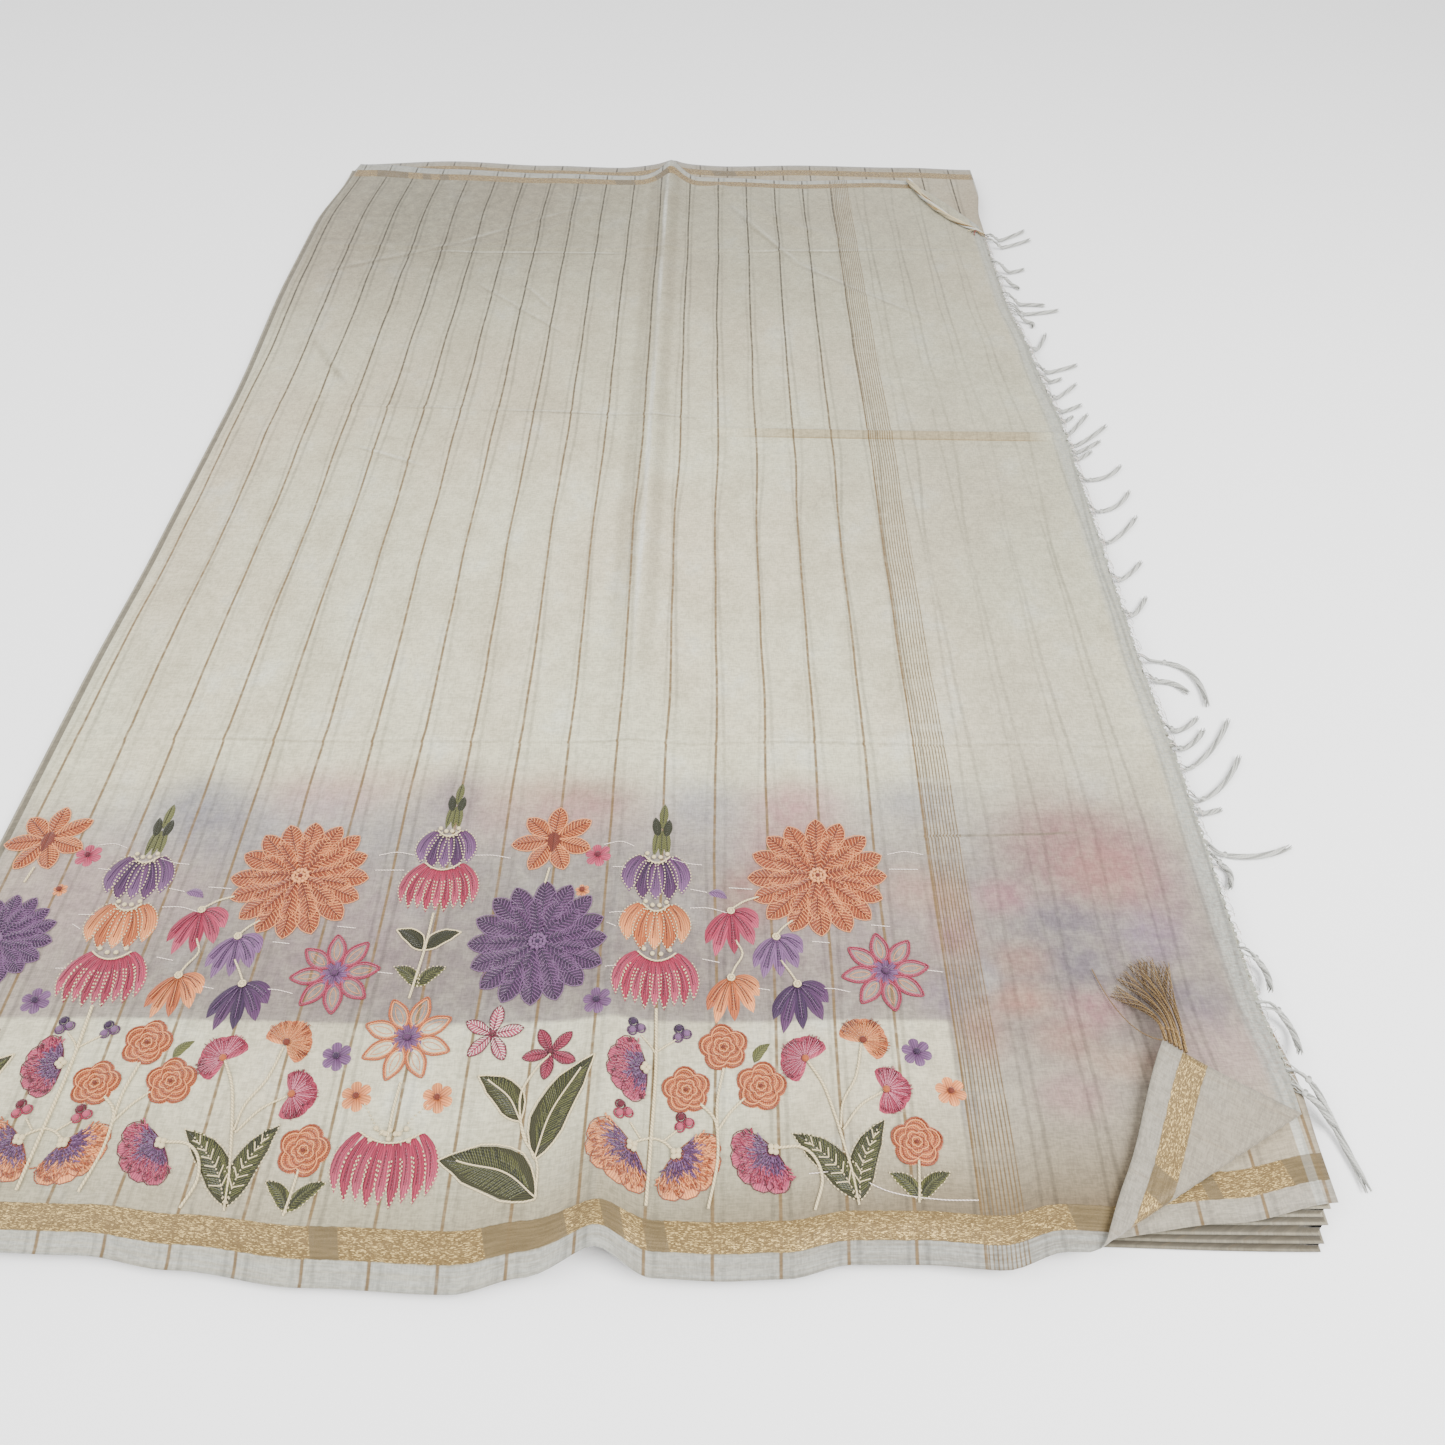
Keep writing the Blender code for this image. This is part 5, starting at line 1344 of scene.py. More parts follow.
# Stems: thickness and the places that they pass
STEMS = (
    (1.6, (-270, -447), (-269, -480), (-270, -515), (-271, -544)),
    (0.9, (-277, -462), (-272, -467), (-269.5, -471)),
    (0.9, (-259, -463), (-265, -467), (-269, -470)),
    (1.2, (-279, -518), (-275, -515), (-269, -513), (-263, -515), (-258, -520)),
    (0.9, (-280, -508), (-275, -514)),
    (0.9, (-258, -509), (-264, -514)),
    (1.4, (-107, -390), (-108, -412), (-111, -440)),
    (1.2, (-47.5, -361), (-49, -371)),
    (1.1, (-217, -380), (-225, -383), (-232, -388)),
    (1.1, (-229.5, -407), (-226, -415), (-230, -423), (-232, -428)),
    (1.1, (-199, -395), (-204, -399), (-208, -404)),
    (1.1, (-206, -419), (-202, -425), (-198, -432)),
    (1.3, (-236, -478), (-239, -494), (-239, -508)),
    (1.4, (-247, -496), (-241, -502), (-239, -509), (-239, -524), (-243, -544)),
    (1.1, (-226, -493), (-233, -500), (-239, -509)),
    (1.3, (-195, -475), (-188, -488), (-183, -505), (-180, -518)),
    (1.1, (-168, -467), (-172, -484), (-179, -497), (-181, -510)),
    (1.1, (-160, -492), (-171, -499), (-180, -511)),
    (1.1, (-180, -518), (-177, -532), (-175, -547)),
    (1.4, (-211, -517), (-201, -517), (-194, -523), (-191, -534), (-195, -547)),
    (1.2, (-146, -526), (-147, -538), (-148, -546)),
    (1.3, (-107, -484), (-108, -497), (-108, -510)),
    (1.1, (-36, -471), (-42, -478), (-48, -490), (-47, -503), (-43, -514)),
    (1.0, (-47, -504), (-44, -513), (-37, -524), (-36, -540)),
)
DOTTED_STEMS = (((-122, -495), (-117, -502), (-112, -509)), ((-92, -495), (-98, -501), (-103, -509)))
# Beads at the neck of the fan
NECK_BEADS = ((-116, -511.5), (-111, -508), (-107.5, -511), (-107.5, -507), (-103, -508.5), (-98, -511.5))
# Pale threads carried loose from one motif to the next
JUMP_THREADS = (
    ((-303, -346), (-294, -345), (-286, -348)), ((-265, -355), (-256, -358), (-248, -359)),
    ((-254, -375), (-245, -377)), ((-233, -374), (-220, -375)), ((-254, -387), (-244, -387), (-234, -390)),
    ((-298, -398), (-293, -401)), ((-247, -418), (-238, -420)), ((-218, -435), (-212, -436)),
    ((-189, -436), (-180, -436), (-171, -438)), ((-144, -352), (-134, -350), (-124, -352)),
    ((-144, -362), (-128, -362)), ((-90, -352), (-80, -352), (-70, -354)), ((-157, -398), (-147, -399)),
    ((-189, -408), (-180, -409)), ((-130, -425), (-122, -426)), ((-12, -392), (0, -392)),
    ((-12, -362), (-3, -363), (3, -362)), ((-12, -425), (-4, -425)),
)
# One loose thread lies along the near zari border
LONG_THREAD = ((88, -530), (105, -532), (125, -541), (145, -544), (164, -543))


def work_motif(make, u, v, width, height, turn, tone, repeat):
    """Work one motif of one repeat, made smaller or left out where the left fold is in its way."""
    centre = u + repeat * REPEAT
    reach = max(width, height) / 2
    fit = min((centre - BORDER_LEFT) / reach, 1.0)
    if fit < SMALLEST_FIT or centre + reach > BORDER_RIGHT:
        return
    make(Needle(complex(centre, v), turn, fit), width, height, tone)


for repeat in (-1, 0, 1):
    for row in MOTIFS:
        work_motif(*row, repeat)
    needle = Needle(complex(repeat * REPEAT, 0))
    lines = [("stems", thickness, stops, "cream") for thickness, *stops in STEMS]
    lines += [("seed_stitches", 1.0, stops, "cream") for stops in DOTTED_STEMS]
    lines += [("jump_threads", 0.5, stops, "white") for stops in JUMP_THREADS]
    for kind, thickness, stops, colour in lines:
        across = [u + repeat * REPEAT for u, _ in stops]
        if min(across) > BORDER_LEFT + STEM_MARGIN and max(across) < BORDER_RIGHT:
            needle.line(kind, smooth_run([complex(*stop) for stop in stops]), thickness, colour)
    if repeat == 0:
        needle.line("jump_threads", smooth_run([complex(*stop) for stop in LONG_THREAD]), 0.6, "white")
    for u, v in NECK_BEADS:
        if BORDER_LEFT + BEAD_MARGIN < u + repeat * REPEAT < BORDER_RIGHT - BEAD_MARGIN:
            needle.knot(complex(u, v), 2.6, "cream")


def laid(places, lift):
    """Flat places in millimetres, laid on the upper cloth and lifted off it."""
    u, v = np.real(places) * MM, np.imag(places) * MM
    return off_surface(top_middle, u, v, WALL / 2 + np.asarray(lift) * MM * np.ones_like(u))


def thread_material(name, wave_of, contrast, roughness=0.55, bump_height=0.25, **sockets):
    """Embroidery thread, coloured by its own attribute, with the ridges of its stitch as bumps and as painted
    highlight and shade.
    """
    thread = Finish(name, roughness, 0.35, Sheen_Weight=0.3, Sheen_Roughness=0.4, **sockets)
    colour = thread.add("ShaderNodeAttribute", attribute_name="thread").outputs["Color"]
    wave = wave_of(thread)
    # Painted highlight on the crests of the stitches and painted shade in the grooves between them
    shade = thread.step(wave, 0.0, 1.0, 1.0 - contrast, 1.0 + contrast * 0.9)
    return thread.end(thread.scaled(colour, shade), wave, 0.8, bump_height * MM)


def ridges(thread, place, width, jitter, sway):
    """Even ridges of a width along a place, swayed by noise."""
    phase = thread.calc("MULTIPLY_ADD", jitter, sway, thread.times(place, 2 * math.pi / width))
    return thread.calc("MULTIPLY_ADD", thread.calc("SINE", phase), 0.5, 0.5)


def feather_wave(thread):
    """Stitches that slant from a petal's midline to its edges."""
    flat = thread.add("ShaderNodeUVMap", uv_map="flat").outputs[0]
    run, across = thread.parts(flat)[:2]
    away = thread.calc("ABSOLUTE", across)
    slanted = thread.calc("MULTIPLY_ADD", away, -1.3, run)
    wave = ridges(thread, slanted, 1.5 * MM, thread.noise(flat, (420.0, 420.0), 2.0), 4.5)
    return thread.times(wave, thread.step(away, 0.1 * MM, 0.55 * MM, 0.15, 1.0))


def long_wave(thread):
    """Stitches that run the length of a petal, side by side."""
    flat = thread.add("ShaderNodeUVMap", uv_map="flat").outputs[0]
    across = thread.parts(flat)[1]
    wave = ridges(thread, across, 1.2 * MM, thread.noise(flat, (90.0, 500.0), 2.0), 7.0)
    streak = thread.noise(flat, (110.0, 1300.0), 2.0, 0.6)
    return thread.calc("MULTIPLY_ADD", wave, 0.6, thread.calc("MULTIPLY_ADD", streak, 1.2, -0.4))


def twist_wave(thread):
    """The turns of the plies along a cord."""
    run = thread.add("ShaderNodeAttribute", attribute_name="run").outputs["Fac"]
    turned = thread.add("ShaderNodeAttribute", attribute_name="round").outputs["Vector"]
    cosine, sine = thread.parts(turned)[:2]
    phase = thread.times(run, 2 * math.pi / TWIST_LENGTH)
    first = thread.times(thread.calc("SINE", phase), cosine)
    second = thread.times(thread.calc("COSINE", phase), sine)
    return thread.calc("MULTIPLY_ADD", thread.calc("ADD", first, second), 0.5, 0.5)


def fibre_wave(thread):
    """Loose fibres on knots and seed stitches."""
    place = thread.add("ShaderNodeTexCoord").outputs["Object"]
    return thread.step(thread.noise(place, (2600.0, 2600.0, 2600.0), 2.0), 0.35, 0.65)


def petals_piece(name, petals, material):
    """Every petal of one kind of stitch as one mesh."""
    columns = PETAL_STRIPS + 1
    size = PETAL_RUNS * columns
    one = grid_faces(PETAL_RUNS, columns)
    faces = [tuple(index + size * k for index in face[::-1]) for k in range(len(petals)) for face in one]
    places, lifts, flats, colours = zip(*petals)
    points = laid(np.stack(places), np.stack(lifts)).reshape(-1, 3)
    flats = np.stack(flats).reshape(-1, 2)
    colours = np.stack(colours).reshape(-1, 4)
    piece = make_piece(name, points, faces, material, flats)
    colour = piece.data.color_attributes.new("thread", "FLOAT_COLOR", "POINT")
    colour.data.foreach_set("color", colours.astype(np.float32).ravel())
    return piece


def path_mesh(name, lines):
    """Bare lines for the thread trees, with the thickness and colour of each."""
    first = 0
    points, edges, thicknesses, colours = [], [], [], []
    for stops, thickness, colour in lines:
        points.append(stops)
        edges += [(first + k, first + k + 1) for k in range(len(stops) - 1)]
        thicknesses += list(np.broadcast_to(thickness, len(stops)) * MM)
        colours += [dye(*colour)] * len(stops)
        first += len(stops)
    mesh = bpy.data.meshes.new(name)
    mesh.from_pydata(np.concatenate(points), edges, [])
    mesh.attributes.new("thickness", "FLOAT", "POINT").data.foreach_set("value", thicknesses)
    mesh.attributes.new("thread", "FLOAT_COLOR", "POINT").data.foreach_set("color", np.ravel(colours))
    piece = bpy.data.objects.new(name, mesh)
    bpy.context.scene.collection.objects.link(piece)
    return piece


class ThreadTree(NodeTree):
    """A Geometry Nodes tree with named inputs, which hands over realized geometry."""

    def __init__(self, name, **inputs):
        super().__init__(bpy.data.node_groups.new(name, "GeometryNodeTree"))
        sides = [("Geometry", "INPUT", "NodeSocketGeometry")]
        sides += [(key, "INPUT", kind) for key, kind in inputs.items()]
        sides.append(("Geometry", "OUTPUT", "NodeSocketGeometry"))
        for key, in_out, kind in sides:
            self.tree.interface.new_socket(key, in_out=in_out, socket_type=kind)
        self.given = self.add("NodeGroupInput").outputs

    def named(self, name):
        """A number that the lines carry under a name."""
        return self.add("GeometryNodeInputNamedAttribute", {"Name": name}, data_type="FLOAT").outputs[0]

    def store(self, geometry, name, value, kind):
        """The geometry with a value stored on it under a name."""
        sockets = {"Geometry": geometry, "Name": name, "Value": value}
        return self.add("GeometryNodeStoreNamedAttribute", sockets, data_type=kind).outputs[0]

    def hand_over(self, geometry):
        """Realize the instances, give them their material and end the tree."""
        made = self.add("GeometryNodeRealizeInstances", {0: geometry}).outputs[0]
        smooth = self.add("GeometryNodeSetShadeSmooth", {0: made}).outputs[0]
        sockets = {"Geometry": smooth, "Material": self.given["Material"]}
        self.add("NodeGroupOutput", {0: self.add("GeometryNodeSetMaterial", sockets).outputs[0]})
        return self.tree


def cord_tree():
    """A round twisted cord along each line."""
    cord = ThreadTree(
        "cord along a line", Sides="NodeSocketInt", Plies="NodeSocketInt", Material="NodeSocketMaterial",
    )
    line = cord.add("GeometryNodeMeshToCurve", {0: cord.given["Geometry"]}).outputs[0]
    line = cord.store(line, "run", cord.add("GeometryNodeSplineParameter").outputs["Length"], "FLOAT")
    sockets = {"Resolution": cord.given["Sides"], "Radius": 0.5}
    circle = cord.add("GeometryNodeCurvePrimitiveCircle", sockets).outputs[0]
    index = cord.add("GeometryNodeInputIndex").outputs[0]
    turns = cord.calc("DIVIDE", cord.times(index, cord.given["Plies"]), cord.given["Sides"])
    angle = cord.times(turns, 2 * math.pi)
    sockets = {0: cord.calc("COSINE", angle), 1: cord.calc("SINE", angle)}
    circle = cord.store(circle, "round", cord.add("ShaderNodeCombineXYZ", sockets).outputs[0], "FLOAT_VECTOR")
    sockets = {"Curve": line, "Profile Curve": circle, "Scale": cord.named("thickness"), "Fill Caps": True}
    return cord.hand_over(cord.add("GeometryNodeCurveToMesh", sockets).outputs[0])


def seed_tree(spaced):
    """A small rounded stitch at each stop, or at even spaces along each line."""
    seeds = ThreadTree(
        "seed stitches along a line" if spaced else "knots",
        Spacing="NodeSocketFloat", Rounds="NodeSocketInt", Material="NodeSocketMaterial",
    )
    stops, shape, turned = seeds.given["Geometry"], (1.0, 1.0, 0.75), {}
    if spaced:
        line = seeds.add("GeometryNodeMeshToCurve", {0: stops}).outputs[0]
        sockets = {"Curve": line, "Length": seeds.given["Spacing"]}
        stops = seeds.add("GeometryNodeResampleCurve", sockets, mode="LENGTH").outputs[0]
        tangent = {"Vector": seeds.add("GeometryNodeInputTangent").outputs[0]}
        turned["Rotation"] = seeds.add("FunctionNodeAlignRotationToVector", tangent, axis="X").outputs[0]
        shape = (1.3, 0.9, 0.8)
    sockets = {"Radius": 0.5, "Subdivisions": seeds.given["Rounds"]}
    seed = seeds.add("GeometryNodeMeshIcoSphere", sockets).outputs[0]
    sockets = {"Points": stops, "Instance": seed, "Scale": seeds.scaled(shape, seeds.named("thickness"))}
    return seeds.hand_over(seeds.add("GeometryNodeInstanceOnPoints", sockets | turned).outputs[0])


def grow(piece, tree, **inputs):
    """Run a tree on a piece and keep the result as a plain mesh."""
    modifier = piece.modifiers.new("threads", "NODES")
    modifier.node_group = tree
    for item in tree.interface.items_tree:
        if item.in_out == "INPUT" and item.name in inputs:
            modifier[item.identifier] = inputs[item.name]
    settle(piece)


def place_on_root(piece, slot, *nodes):
    """Let a piece ride on the sari's body, in place of the nodes that it stands for."""
    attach(piece, "root")
    if nodes:
        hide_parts(*nodes)


cord_silk = thread_material("couched silk cord", twist_wave, 0.32, 0.6, 0.14)
knot_silk = thread_material("silk knots", fibre_wave, 0.12, 0.6, 0.1)
feather_silk = thread_material("silk in feather stitch", feather_wave, 0.42)
long_silk = thread_material("silk in long stitch", long_wave, 0.4)
place_on_root(petals_piece("feather_stitches", petal_store["feather"], feather_silk), "upper_cloth")
place_on_root(petals_piece("long_stitches", petal_store["long"], long_silk), "upper_cloth")
cords_of_thread = cord_tree()
cord_sides = {"stems": 6, "outlines": 4, "barbs": 3, "jump_threads": 3}
for kind in line_store:
    places, lifts, thicknesses, colours = zip(*line_store[kind])
    counts = [len(run) for run in places]
    lifts = np.concatenate([np.broadcast_to(lift, count) for lift, count in zip(lifts, counts)])
    runs = np.split(laid(np.concatenate(places), lifts), np.cumsum(counts)[:-1])
    piece = path_mesh(kind, list(zip(runs, thicknesses, (THREADS[colour] for colour in colours))))
    if kind == "seed_stitches":
        grow(piece, seed_tree(True), Spacing=SEED_SPACING, Rounds=1, Material=knot_silk)
    else:
        grow(piece, cords_of_thread, Sides=cord_sides[kind], Plies=2, Material=cord_silk)
    place_on_root(piece, "upper_cloth")
knots = path_mesh("knots", [
    (laid(np.array([place]), np.array([lift])), size, THREADS[colour])
    for place, lift, size, colour in knot_store
])
grow(knots, seed_tree(False), Spacing=1.0, Rounds=2, Material=knot_silk)
place_on_root(knots, "upper_cloth")


# The fringe
# The free end's own warp threads, frayed out past a narrow net-like strip and knotted into
# thin tassels that lie loose on the surface beside the cloth.

# A tassel: v of its root, a place on its way and its tip, in millimetres
TASSELS = (
    (-486, 331, -494, 342, -504), (-478, 341, -481, 348, -533), (-443, 346, -443, 335, -468),
    (-413, 343, -412, 331, -434), (-349, 343, -349, 332, -367), (-338, 348, -352, 376, -338),
    (-318, 332, -315, 344, -311), (-308, 347, -305, 367, -270), (-287, 348, -276, 369, -240),
    (-268, 340, -266, 351, -248), (-250, 336, -254, 350, -238), (-212, 341, -199, 350, -217),
    (-190, 366, -180, 359, -228), (-153, 335, -145, 345, -125), (-114, 337, -107, 351, -87),
    (-73, 342, -64, 360, -35), (-29, 347, -34, 362, -4), (12, 347, 4, 363, 29),
    (31, 332, 36, 344, 48), (40, 335, 46, 354, 62), (49, 338, 55, 364, 84),
    (57, 332, 72, 352, 100), (81, 329, 86, 339, 97), (98, 333, 103, 350, 114),
    (114, 332, 122, 352, 146), (141, 328, 147, 341, 154), (160, 333, 162, 359, 176),
    (186, 330, 196, 341, 228), (250, 340, 252, 331, 240), (262, 338, 262, 361, 270),
    (279, 333, 282, 350, 279), (308, 328, 324, 331, 310), (342, 328, 339, 343, 349),
    (388, 340, 396, 360, 411), (397, 338, 413, 357, 430),
)
THREADS |= {"fringe": (214, 214, 210), "grey": (188, 188, 184)}
TASSEL_REST = 1.9 * MM
TASSEL_FALL = 17 * MM
TASSEL_STOPS = 15
TASSEL_PLIES = 6
TASSEL_COLOURS = ("fringe", "grey", "fringe")
KNOT_SHARE = 0.3
# Ends of the net-like strip along v, in millimetres
STRIP_ENDS = (-487.5, 398.5)
STRIP_WIDTH = 2.6 * MM
STRIP_STEP = 1.6 * MM
STRIP_COLUMNS = 5


def curve_through(start, way, tip, count):
    """Stops of the smooth curve from the first place past the second to the third, in metres."""
    t = np.linspace(0, 1, count)[:, None]
    start, way, tip = (np.array(place, float) for place in (start, way, tip))
    return start * (1 - t) ** 2 + way * 2 * t * (1 - t) + tip * t * t


def plies_round(route, count, reach, thickness, colours, turns):
    """Threads that wind round a route, each as its stops, thicknesses and colour."""
    ahead = np.gradient(route, axis=0)
    ahead /= np.linalg.norm(ahead, axis=1, keepdims=True)
    side = np.cross(ahead, (0.0, 0.0, 1.0))
    side /= np.linalg.norm(side, axis=1, keepdims=True)
    up = np.cross(side, ahead)
    share = np.linspace(0, 1, len(route))
    lines = []
    for k in range(count):
        angle = 2 * math.pi * (k / count + turns * share + chance.uniform(-0.04, 0.04))
        out = side * (np.cos(angle) * reach)[:, None] + up * (np.sin(angle) * reach)[:, None]
        lines.append((route + out, thickness, THREADS[colours[k % len(colours)]]))
    return lines


def free_end(u, v):
    """A place just off the free end."""
    return off_surface(top_middle, np.array([u]), np.array([v]), np.array([0.0]))[0]


fringe_lines, fringe_knots = [], []
tassel_share = np.linspace(0, 1, TASSEL_STOPS)
for v, way_x, way_y, tip_x, tip_y in TASSELS:
    root = free_end(FREE_END_U + 0.3 * MM, v * MM)
    route = curve_through(root, (way_x * MM, way_y * MM, 0), (tip_x * MM, tip_y * MM, 0), TASSEL_STOPS)
    fall = ease((route[:, 0] - along(SECOND_RIGHT, route[:, 1]) - 2.4 * MM) / TASSEL_FALL)
    arch = 0.8 * MM * ease(4 * tassel_share) * (1 - fall)
    route[:, 2] = root[2] * (1 - fall) + TASSEL_REST * fall + arch
    reach = np.interp(tassel_share, (0, KNOT_SHARE, 0.36, 0.85, 1), (1.0, 0.45, 0.95, 1.1, 1.4)) * MM
    thickness = np.interp(tassel_share, (0, KNOT_SHARE, 0.4, 0.9, 1), (0.5, 1.1, 1.5, 1.3, 0.45))
    for stops, thick, colour in plies_round(route, TASSEL_PLIES, reach, thickness, TASSEL_COLOURS, 1.6):
        spread = np.clip(1 - tassel_share / KNOT_SHARE, 0, 1) * chance.uniform(-4.5, 4.5) * MM
        stops[:, 1] += spread
        fringe_lines.append((stops, thick, colour))
    middle = route[round(KNOT_SHARE * (TASSEL_STOPS - 1))]
    fringe_knots.append((middle[None], 3.4, THREADS["fringe"]))
    fringe_knots.append((middle[None] + (0.5 * MM, 0.9 * MM, 0.4 * MM), 2.4, THREADS["grey"]))
strip_v = np.arange(*STRIP_ENDS, STRIP_STEP / MM) * MM
strip_u, strip_v = np.meshgrid(FREE_END_U + np.linspace(-0.2, 1, STRIP_COLUMNS) * STRIP_WIDTH, strip_v)
ragged = np.array([chance.uniform(-0.55, 0.15) for _ in strip_v])[:, None] * STRIP_WIDTH
strip_u = strip_u + ragged * (strip_u > FREE_END_U + 0.5 * STRIP_WIDTH)
strip_points = off_surface(top_middle, strip_u, strip_v, np.full(strip_u.shape, 0.1 * MM))
strip_faces = [
    face for face in grid_faces(*strip_u.shape)
    if face[0] % STRIP_COLUMNS < 2 or chance.random() < 0.8
]
for row in range(0, len(strip_v), 2):
    for _ in range(2 if row % 3 else 1):
        root = strip_points[row, 3]
        reach = chance.uniform(2.5, 6.5) * MM
        drift = chance.uniform(-1, 1) * reach
        tip = (root[0] + reach, root[1] + drift, max(root[2] - reach * 0.9, 0.6 * MM))
        way = (root[0] + reach * 0.7, root[1] + drift * 0.2, root[2] + 0.3 * MM)
        colour = THREADS["fringe" if row % 4 else "white"]
        fringe_lines.append((curve_through(root, way, tip, 5), 0.3, colour))
fringe_thread = thread_material("undyed fringe thread", twist_wave, 0.18, 0.75, 0.1)
net_cloth = Cloth("net-like edge", (192, 194, 188), 0.8)
shade_by_height(net_cloth)
weave_stripes(net_cloth, 0.0, FAINT_FIELD)
weave_grain(net_cloth)
fringe_strip = make_piece(
    "fringe_strip", strip_points.reshape(-1, 3), strip_faces, net_cloth.finished(),
    np.stack([strip_u, strip_v], axis=-1).reshape(-1, 2),
)
give_thickness(fringe_strip, wrong_side)
fringe = path_mesh("fringe", fringe_lines)
grow(fringe, cords_of_thread, Sides=5, Plies=2, Material=fringe_thread)
fringe_knot_piece = path_mesh("fringe_knots", fringe_knots)
grow(fringe_knot_piece, seed_tree(False), Spacing=1.0, Rounds=2, Material=fringe_thread)
place_on_root(fringe, "fringe_thread", "free_end_fringe")
place_on_root(fringe_strip, "fringe_thread")
place_on_root(fringe_knot_piece, "fringe_thread")


# The gold threads at the turned corner
# Metal-wrapped threads of the zari border's end, knotted where the corner is turned over and
# lying loose on the upper cloth.

# A bundle: v of its root, a place on its way and its tip, in millimetres
GOLD_ROUTES = (
    (-571.3, 264, -450, 248, -437), (-568.7, 268, -447, 254, -428), (-566.1, 270, -445, 262, -421),
    (-563.5, 271, -446, 269, -419), (-560.9, 274, -448, 277, -422),
)
THREADS |= {"gold": (196, 178, 142), "dark_gold": (172, 152, 116), "brown": (138, 116, 88)}
GOLD_STOPS = 13
GOLD_PLIES = 18
GOLD_FALL_START = 0.12
GOLD_REST = TOP_Z + WALL / 2 + 2.0 * MM

gold_lines, gold_knots = [], []
gold_share = np.linspace(0, 1, GOLD_STOPS)
for index, (v, way_x, way_y, tip_x, tip_y) in enumerate(GOLD_ROUTES):
    root = free_end(FREE_END_U + 0.3 * MM, v * MM)
    route = curve_through(root, (way_x * MM, way_y * MM, 0), (tip_x * MM, tip_y * MM, 0), GOLD_STOPS)
    fall = ease((gold_share - GOLD_FALL_START) / (1 - GOLD_FALL_START))
    route[:, 2] = root[2] * (1 - fall) + GOLD_REST * fall + 0.8 * MM * ease(4 * gold_share) * (1 - fall)
    reach = np.interp(gold_share, (0, 0.2, 0.5, 1), (0.8, 0.6, 1.3, 3.4)) * MM
    thickness = np.interp(gold_share, (0, 0.2, 0.8, 1), (0.7, 0.5, 0.34, 0.22))
    colours = ("dark_gold", "brown", "gold", "dark_gold") if index % 2 else ("brown", "dark_gold", "gold")
    for stops, thick, colour in plies_round(route, GOLD_PLIES, reach, thickness, colours, 0.9):
        stops[:, 2] = np.maximum(stops[:, 2], GOLD_REST - 1.4 * MM)
        gold_lines.append((stops, thick, colour))
    gold_knots.append((route[2][None], 2.6, THREADS["dark_gold"]))
loose_root, loose_way = free_end(FREE_END_U, -571.5 * MM), (248 * MM, -462 * MM, GOLD_REST)
loose_thread = curve_through(loose_root, loose_way, (240 * MM, -424 * MM, GOLD_REST - 0.7 * MM), 12)
gold_lines.append((loose_thread, 0.6, THREADS["dark_gold"]))
gold_thread = thread_material("metal-wrapped thread", twist_wave, 0.3, 0.4, 0.12, Metallic=0.25)
gold_tassels = path_mesh("gold_tassels", gold_lines)
grow(gold_tassels, cords_of_thread, Sides=5, Plies=2, Material=gold_thread)
gold_knot_piece = path_mesh("gold_knots", gold_knots)
grow(gold_knot_piece, seed_tree(False), Spacing=1.0, Rounds=2, Material=gold_thread)
place_on_root(gold_tassels, "gold_thread", "corner_threads")
place_on_root(gold_knot_piece, "gold_thread")


# The twisted corner
# The far corner of the free end, pulled in and twisted like a rope, with its selvedge as a pale
# cord on top and the zari's gold threads hanging out at its tip.

# The rope's middle and its radius, and the thread ends at its tip, in millimetres
ROPE_ROUTE = (
    (246, 515, 2.6), (251, 498, 3.0), (258, 474, 2.8), (267, 450, 2.6), (280, 427, 2.4), (293, 411, 2.2),
    (303, 402, 1.6), (309, 395, 0.9),
)
ROPE_ENDS = (
    (299, 395, "red", 0.9), (297, 400, "brown", 0.8), (313, 391, "brown", 0.8),
    (306, 393, "dark_gold", 0.7), (311, 388, "gold", 0.5), (294, 404, "cream", 0.7),
)
THREADS |= {"rope": (210, 203, 184), "red": (176, 96, 74)}
ROPE_LIFT = 0.72 * MM
ROPE_STOPS = 34
# The stop of the rope at which its thread ends start, counted from its tip
ROPE_TAIL = -6
ROPE_TURNS = 2.2

rope_at = np.linspace(0, len(ROPE_ROUTE) - 1, ROPE_STOPS)
rope_columns = [np.interp(rope_at, range(len(ROPE_ROUTE)), column) for column in zip(*ROPE_ROUTE)]
rope_x, rope_y, rope_radius = (column * MM for column in rope_columns)
rope = np.stack([rope_x, rope_y, TOP_Z + WALL / 2 + ROPE_LIFT + rope_radius], axis=1)
thick = rope_columns[2]
rope_lines = plies_round(rope, 3, rope_radius * 0.42, thick * 1.15, ("rope", "fringe", "rope"), ROPE_TURNS)
rope_lines += plies_round(rope, 2, rope_radius * 0.5, thick * 0.9, ("gold", "dark_gold"), ROPE_TURNS)
rope_lines += plies_round(rope, 1, rope_radius * 0.75, thick * 0.5, ("cream",), 0.4)
tail = rope[ROPE_TAIL]
for tip_x, tip_y, colour, thickness in ROPE_ENDS:
    tip = np.array((tip_x * MM, tip_y * MM, TOP_Z + 1.4 * MM))
    way = ((tip[0] + tail[0]) / 2 - 2 * MM, (tip[1] + tail[1]) / 2, tail[2] + 0.5 * MM)
    rope_lines.append((curve_through(tail, way, tip, 8), thickness, THREADS[colour]))
rope_thread = thread_material("twisted cotton silk", twist_wave, 0.2, 0.7, 0.15)
twisted_rope = path_mesh("twisted_rope", rope_lines)
grow(twisted_rope, cords_of_thread, Sides=8, Plies=1, Material=rope_thread)
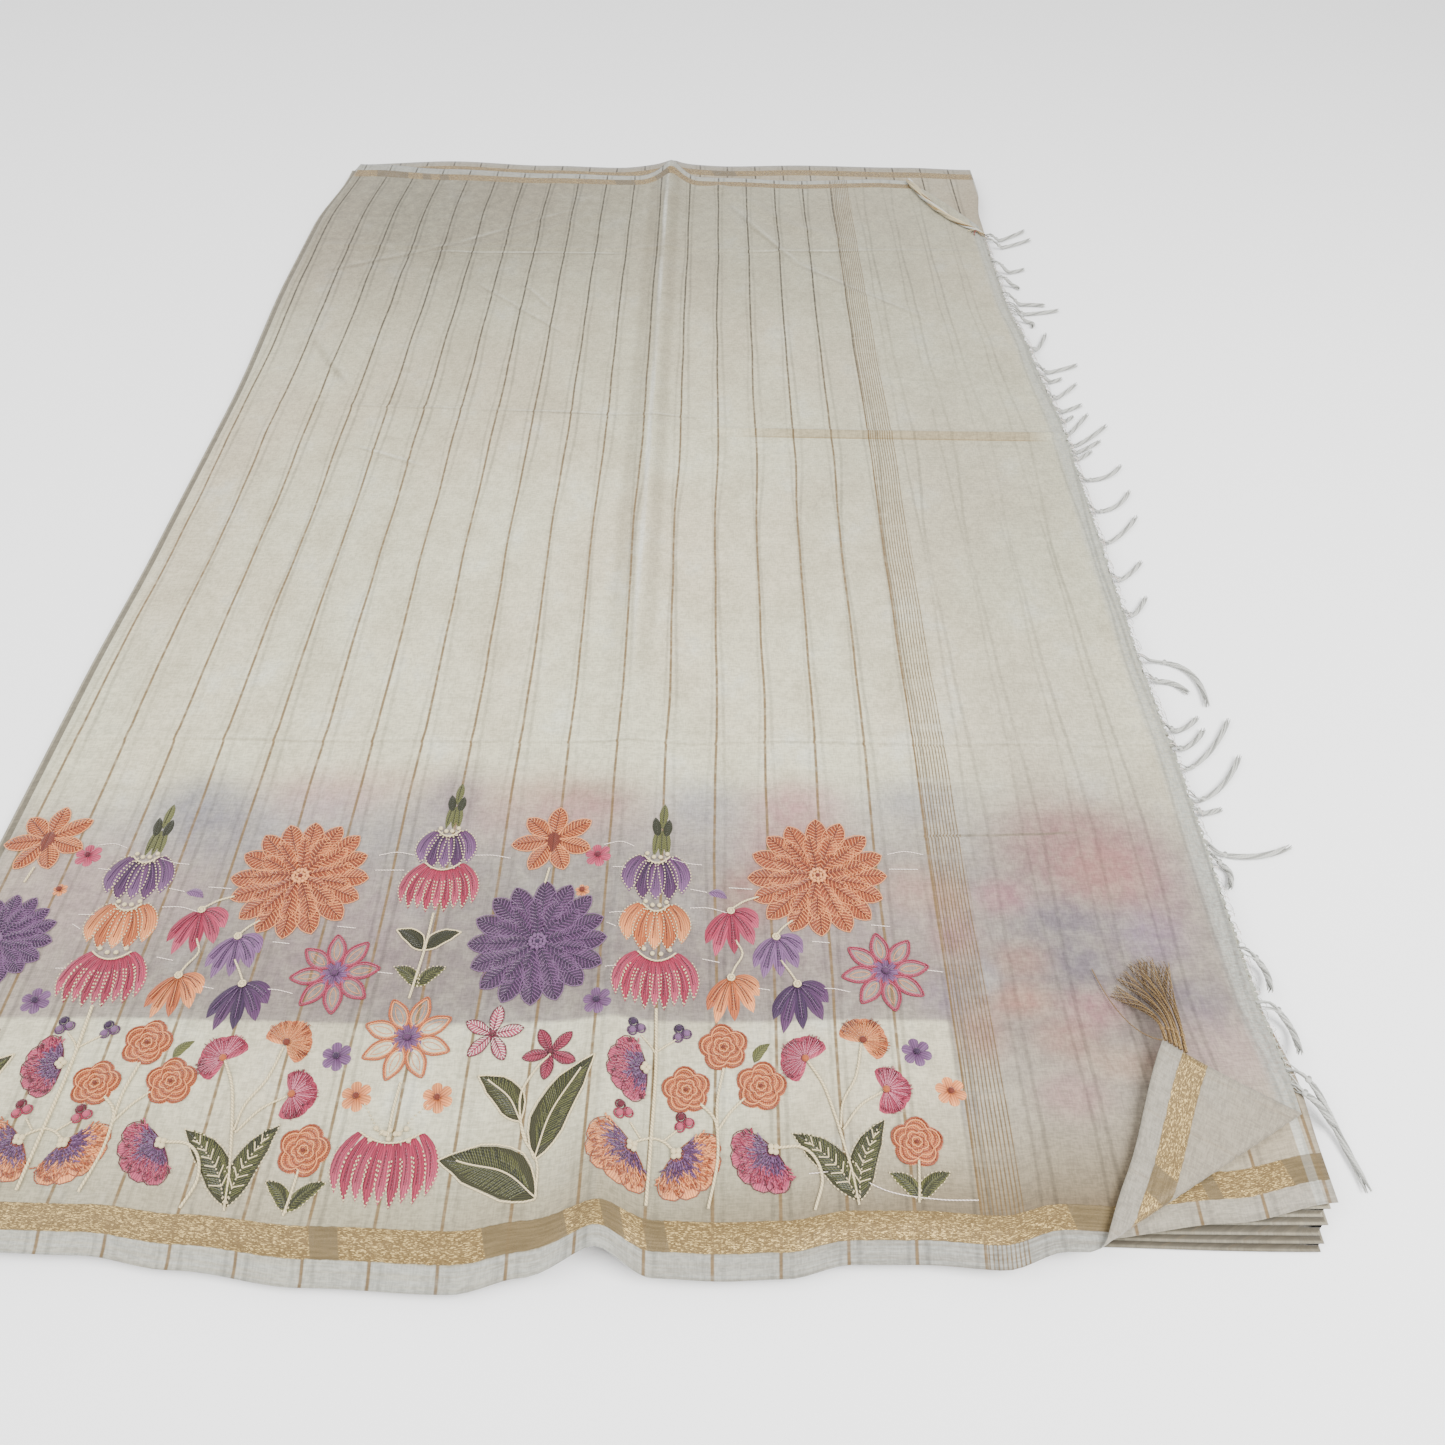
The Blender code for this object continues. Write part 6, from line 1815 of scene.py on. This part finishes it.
place_on_root(twisted_rope, "twisted_cloth", "twisted_corner")


# The floor, light and camera
# A plain pale floor with soft studio light from above, seen at the photo's angle.

CAMERA_X = 48.5 * MM
CAMERA_Y = -720.5 * MM
CAMERA_HEIGHT = 528.3 * MM + TOP_Z + 0.9 * MM
CAMERA_PITCH = math.radians(48.46)
LENS = 28.41
SENSOR_WIDTH = 36
# Just below the sari, so that their faces don't coincide
FLOOR_Z = -0.5 * MM

floor_finish = Finish("pale floor", 0.9, 0.1)
floor_finish.give("Base Color", (0.96, 0.96, 0.96, 1.0))
floor = make_piece(
    "floor", [(-6, -6, FLOOR_Z), (6, -6, FLOOR_Z), (6, 8, FLOOR_Z), (-6, 8, FLOOR_Z)], [(0, 1, 2, 3)],
    floor_finish.material,
)

world = bpy.data.worlds.new("studio")
world.use_nodes = True
background = world.node_tree.nodes["Background"].inputs
background["Color"].default_value = (1.0, 1.0, 1.0, 1.0)
background["Strength"].default_value = 1.2
bpy.context.scene.world = world


def add_light(name, place, target, size, power):
    """A square soft light aimed at a point."""
    data = bpy.data.lights.new(name, "AREA")
    data.size = size
    data.energy = power
    light = bpy.data.objects.new(name, data)
    bpy.context.scene.collection.objects.link(light)
    light.location = place
    ahead = np.array(target, float) - np.array(place, float)
    tilt = math.atan2(math.hypot(ahead[0], ahead[1]), -ahead[2])
    light.rotation_euler = (tilt, 0.0, math.atan2(ahead[1], ahead[0]) - math.pi / 2)


add_light("window light", (0.9, -0.9, 1.5), (0.0, -0.3, 0.0), 1.0, 60)
add_light("fill light", (-1.3, -0.6, 1.8), (0.0, -0.2, 0.0), 1.4, 40)

camera_data = bpy.data.cameras.new("camera")
camera_data.lens = LENS
camera_data.sensor_width = SENSOR_WIDTH
camera_data.clip_start = 0.01
camera = bpy.data.objects.new("camera", camera_data)
bpy.context.scene.collection.objects.link(camera)
camera.location = (CAMERA_X, CAMERA_Y, CAMERA_HEIGHT)
camera.rotation_euler = (math.pi / 2 - CAMERA_PITCH, 0.0, 0.0)
bpy.context.scene.camera = camera
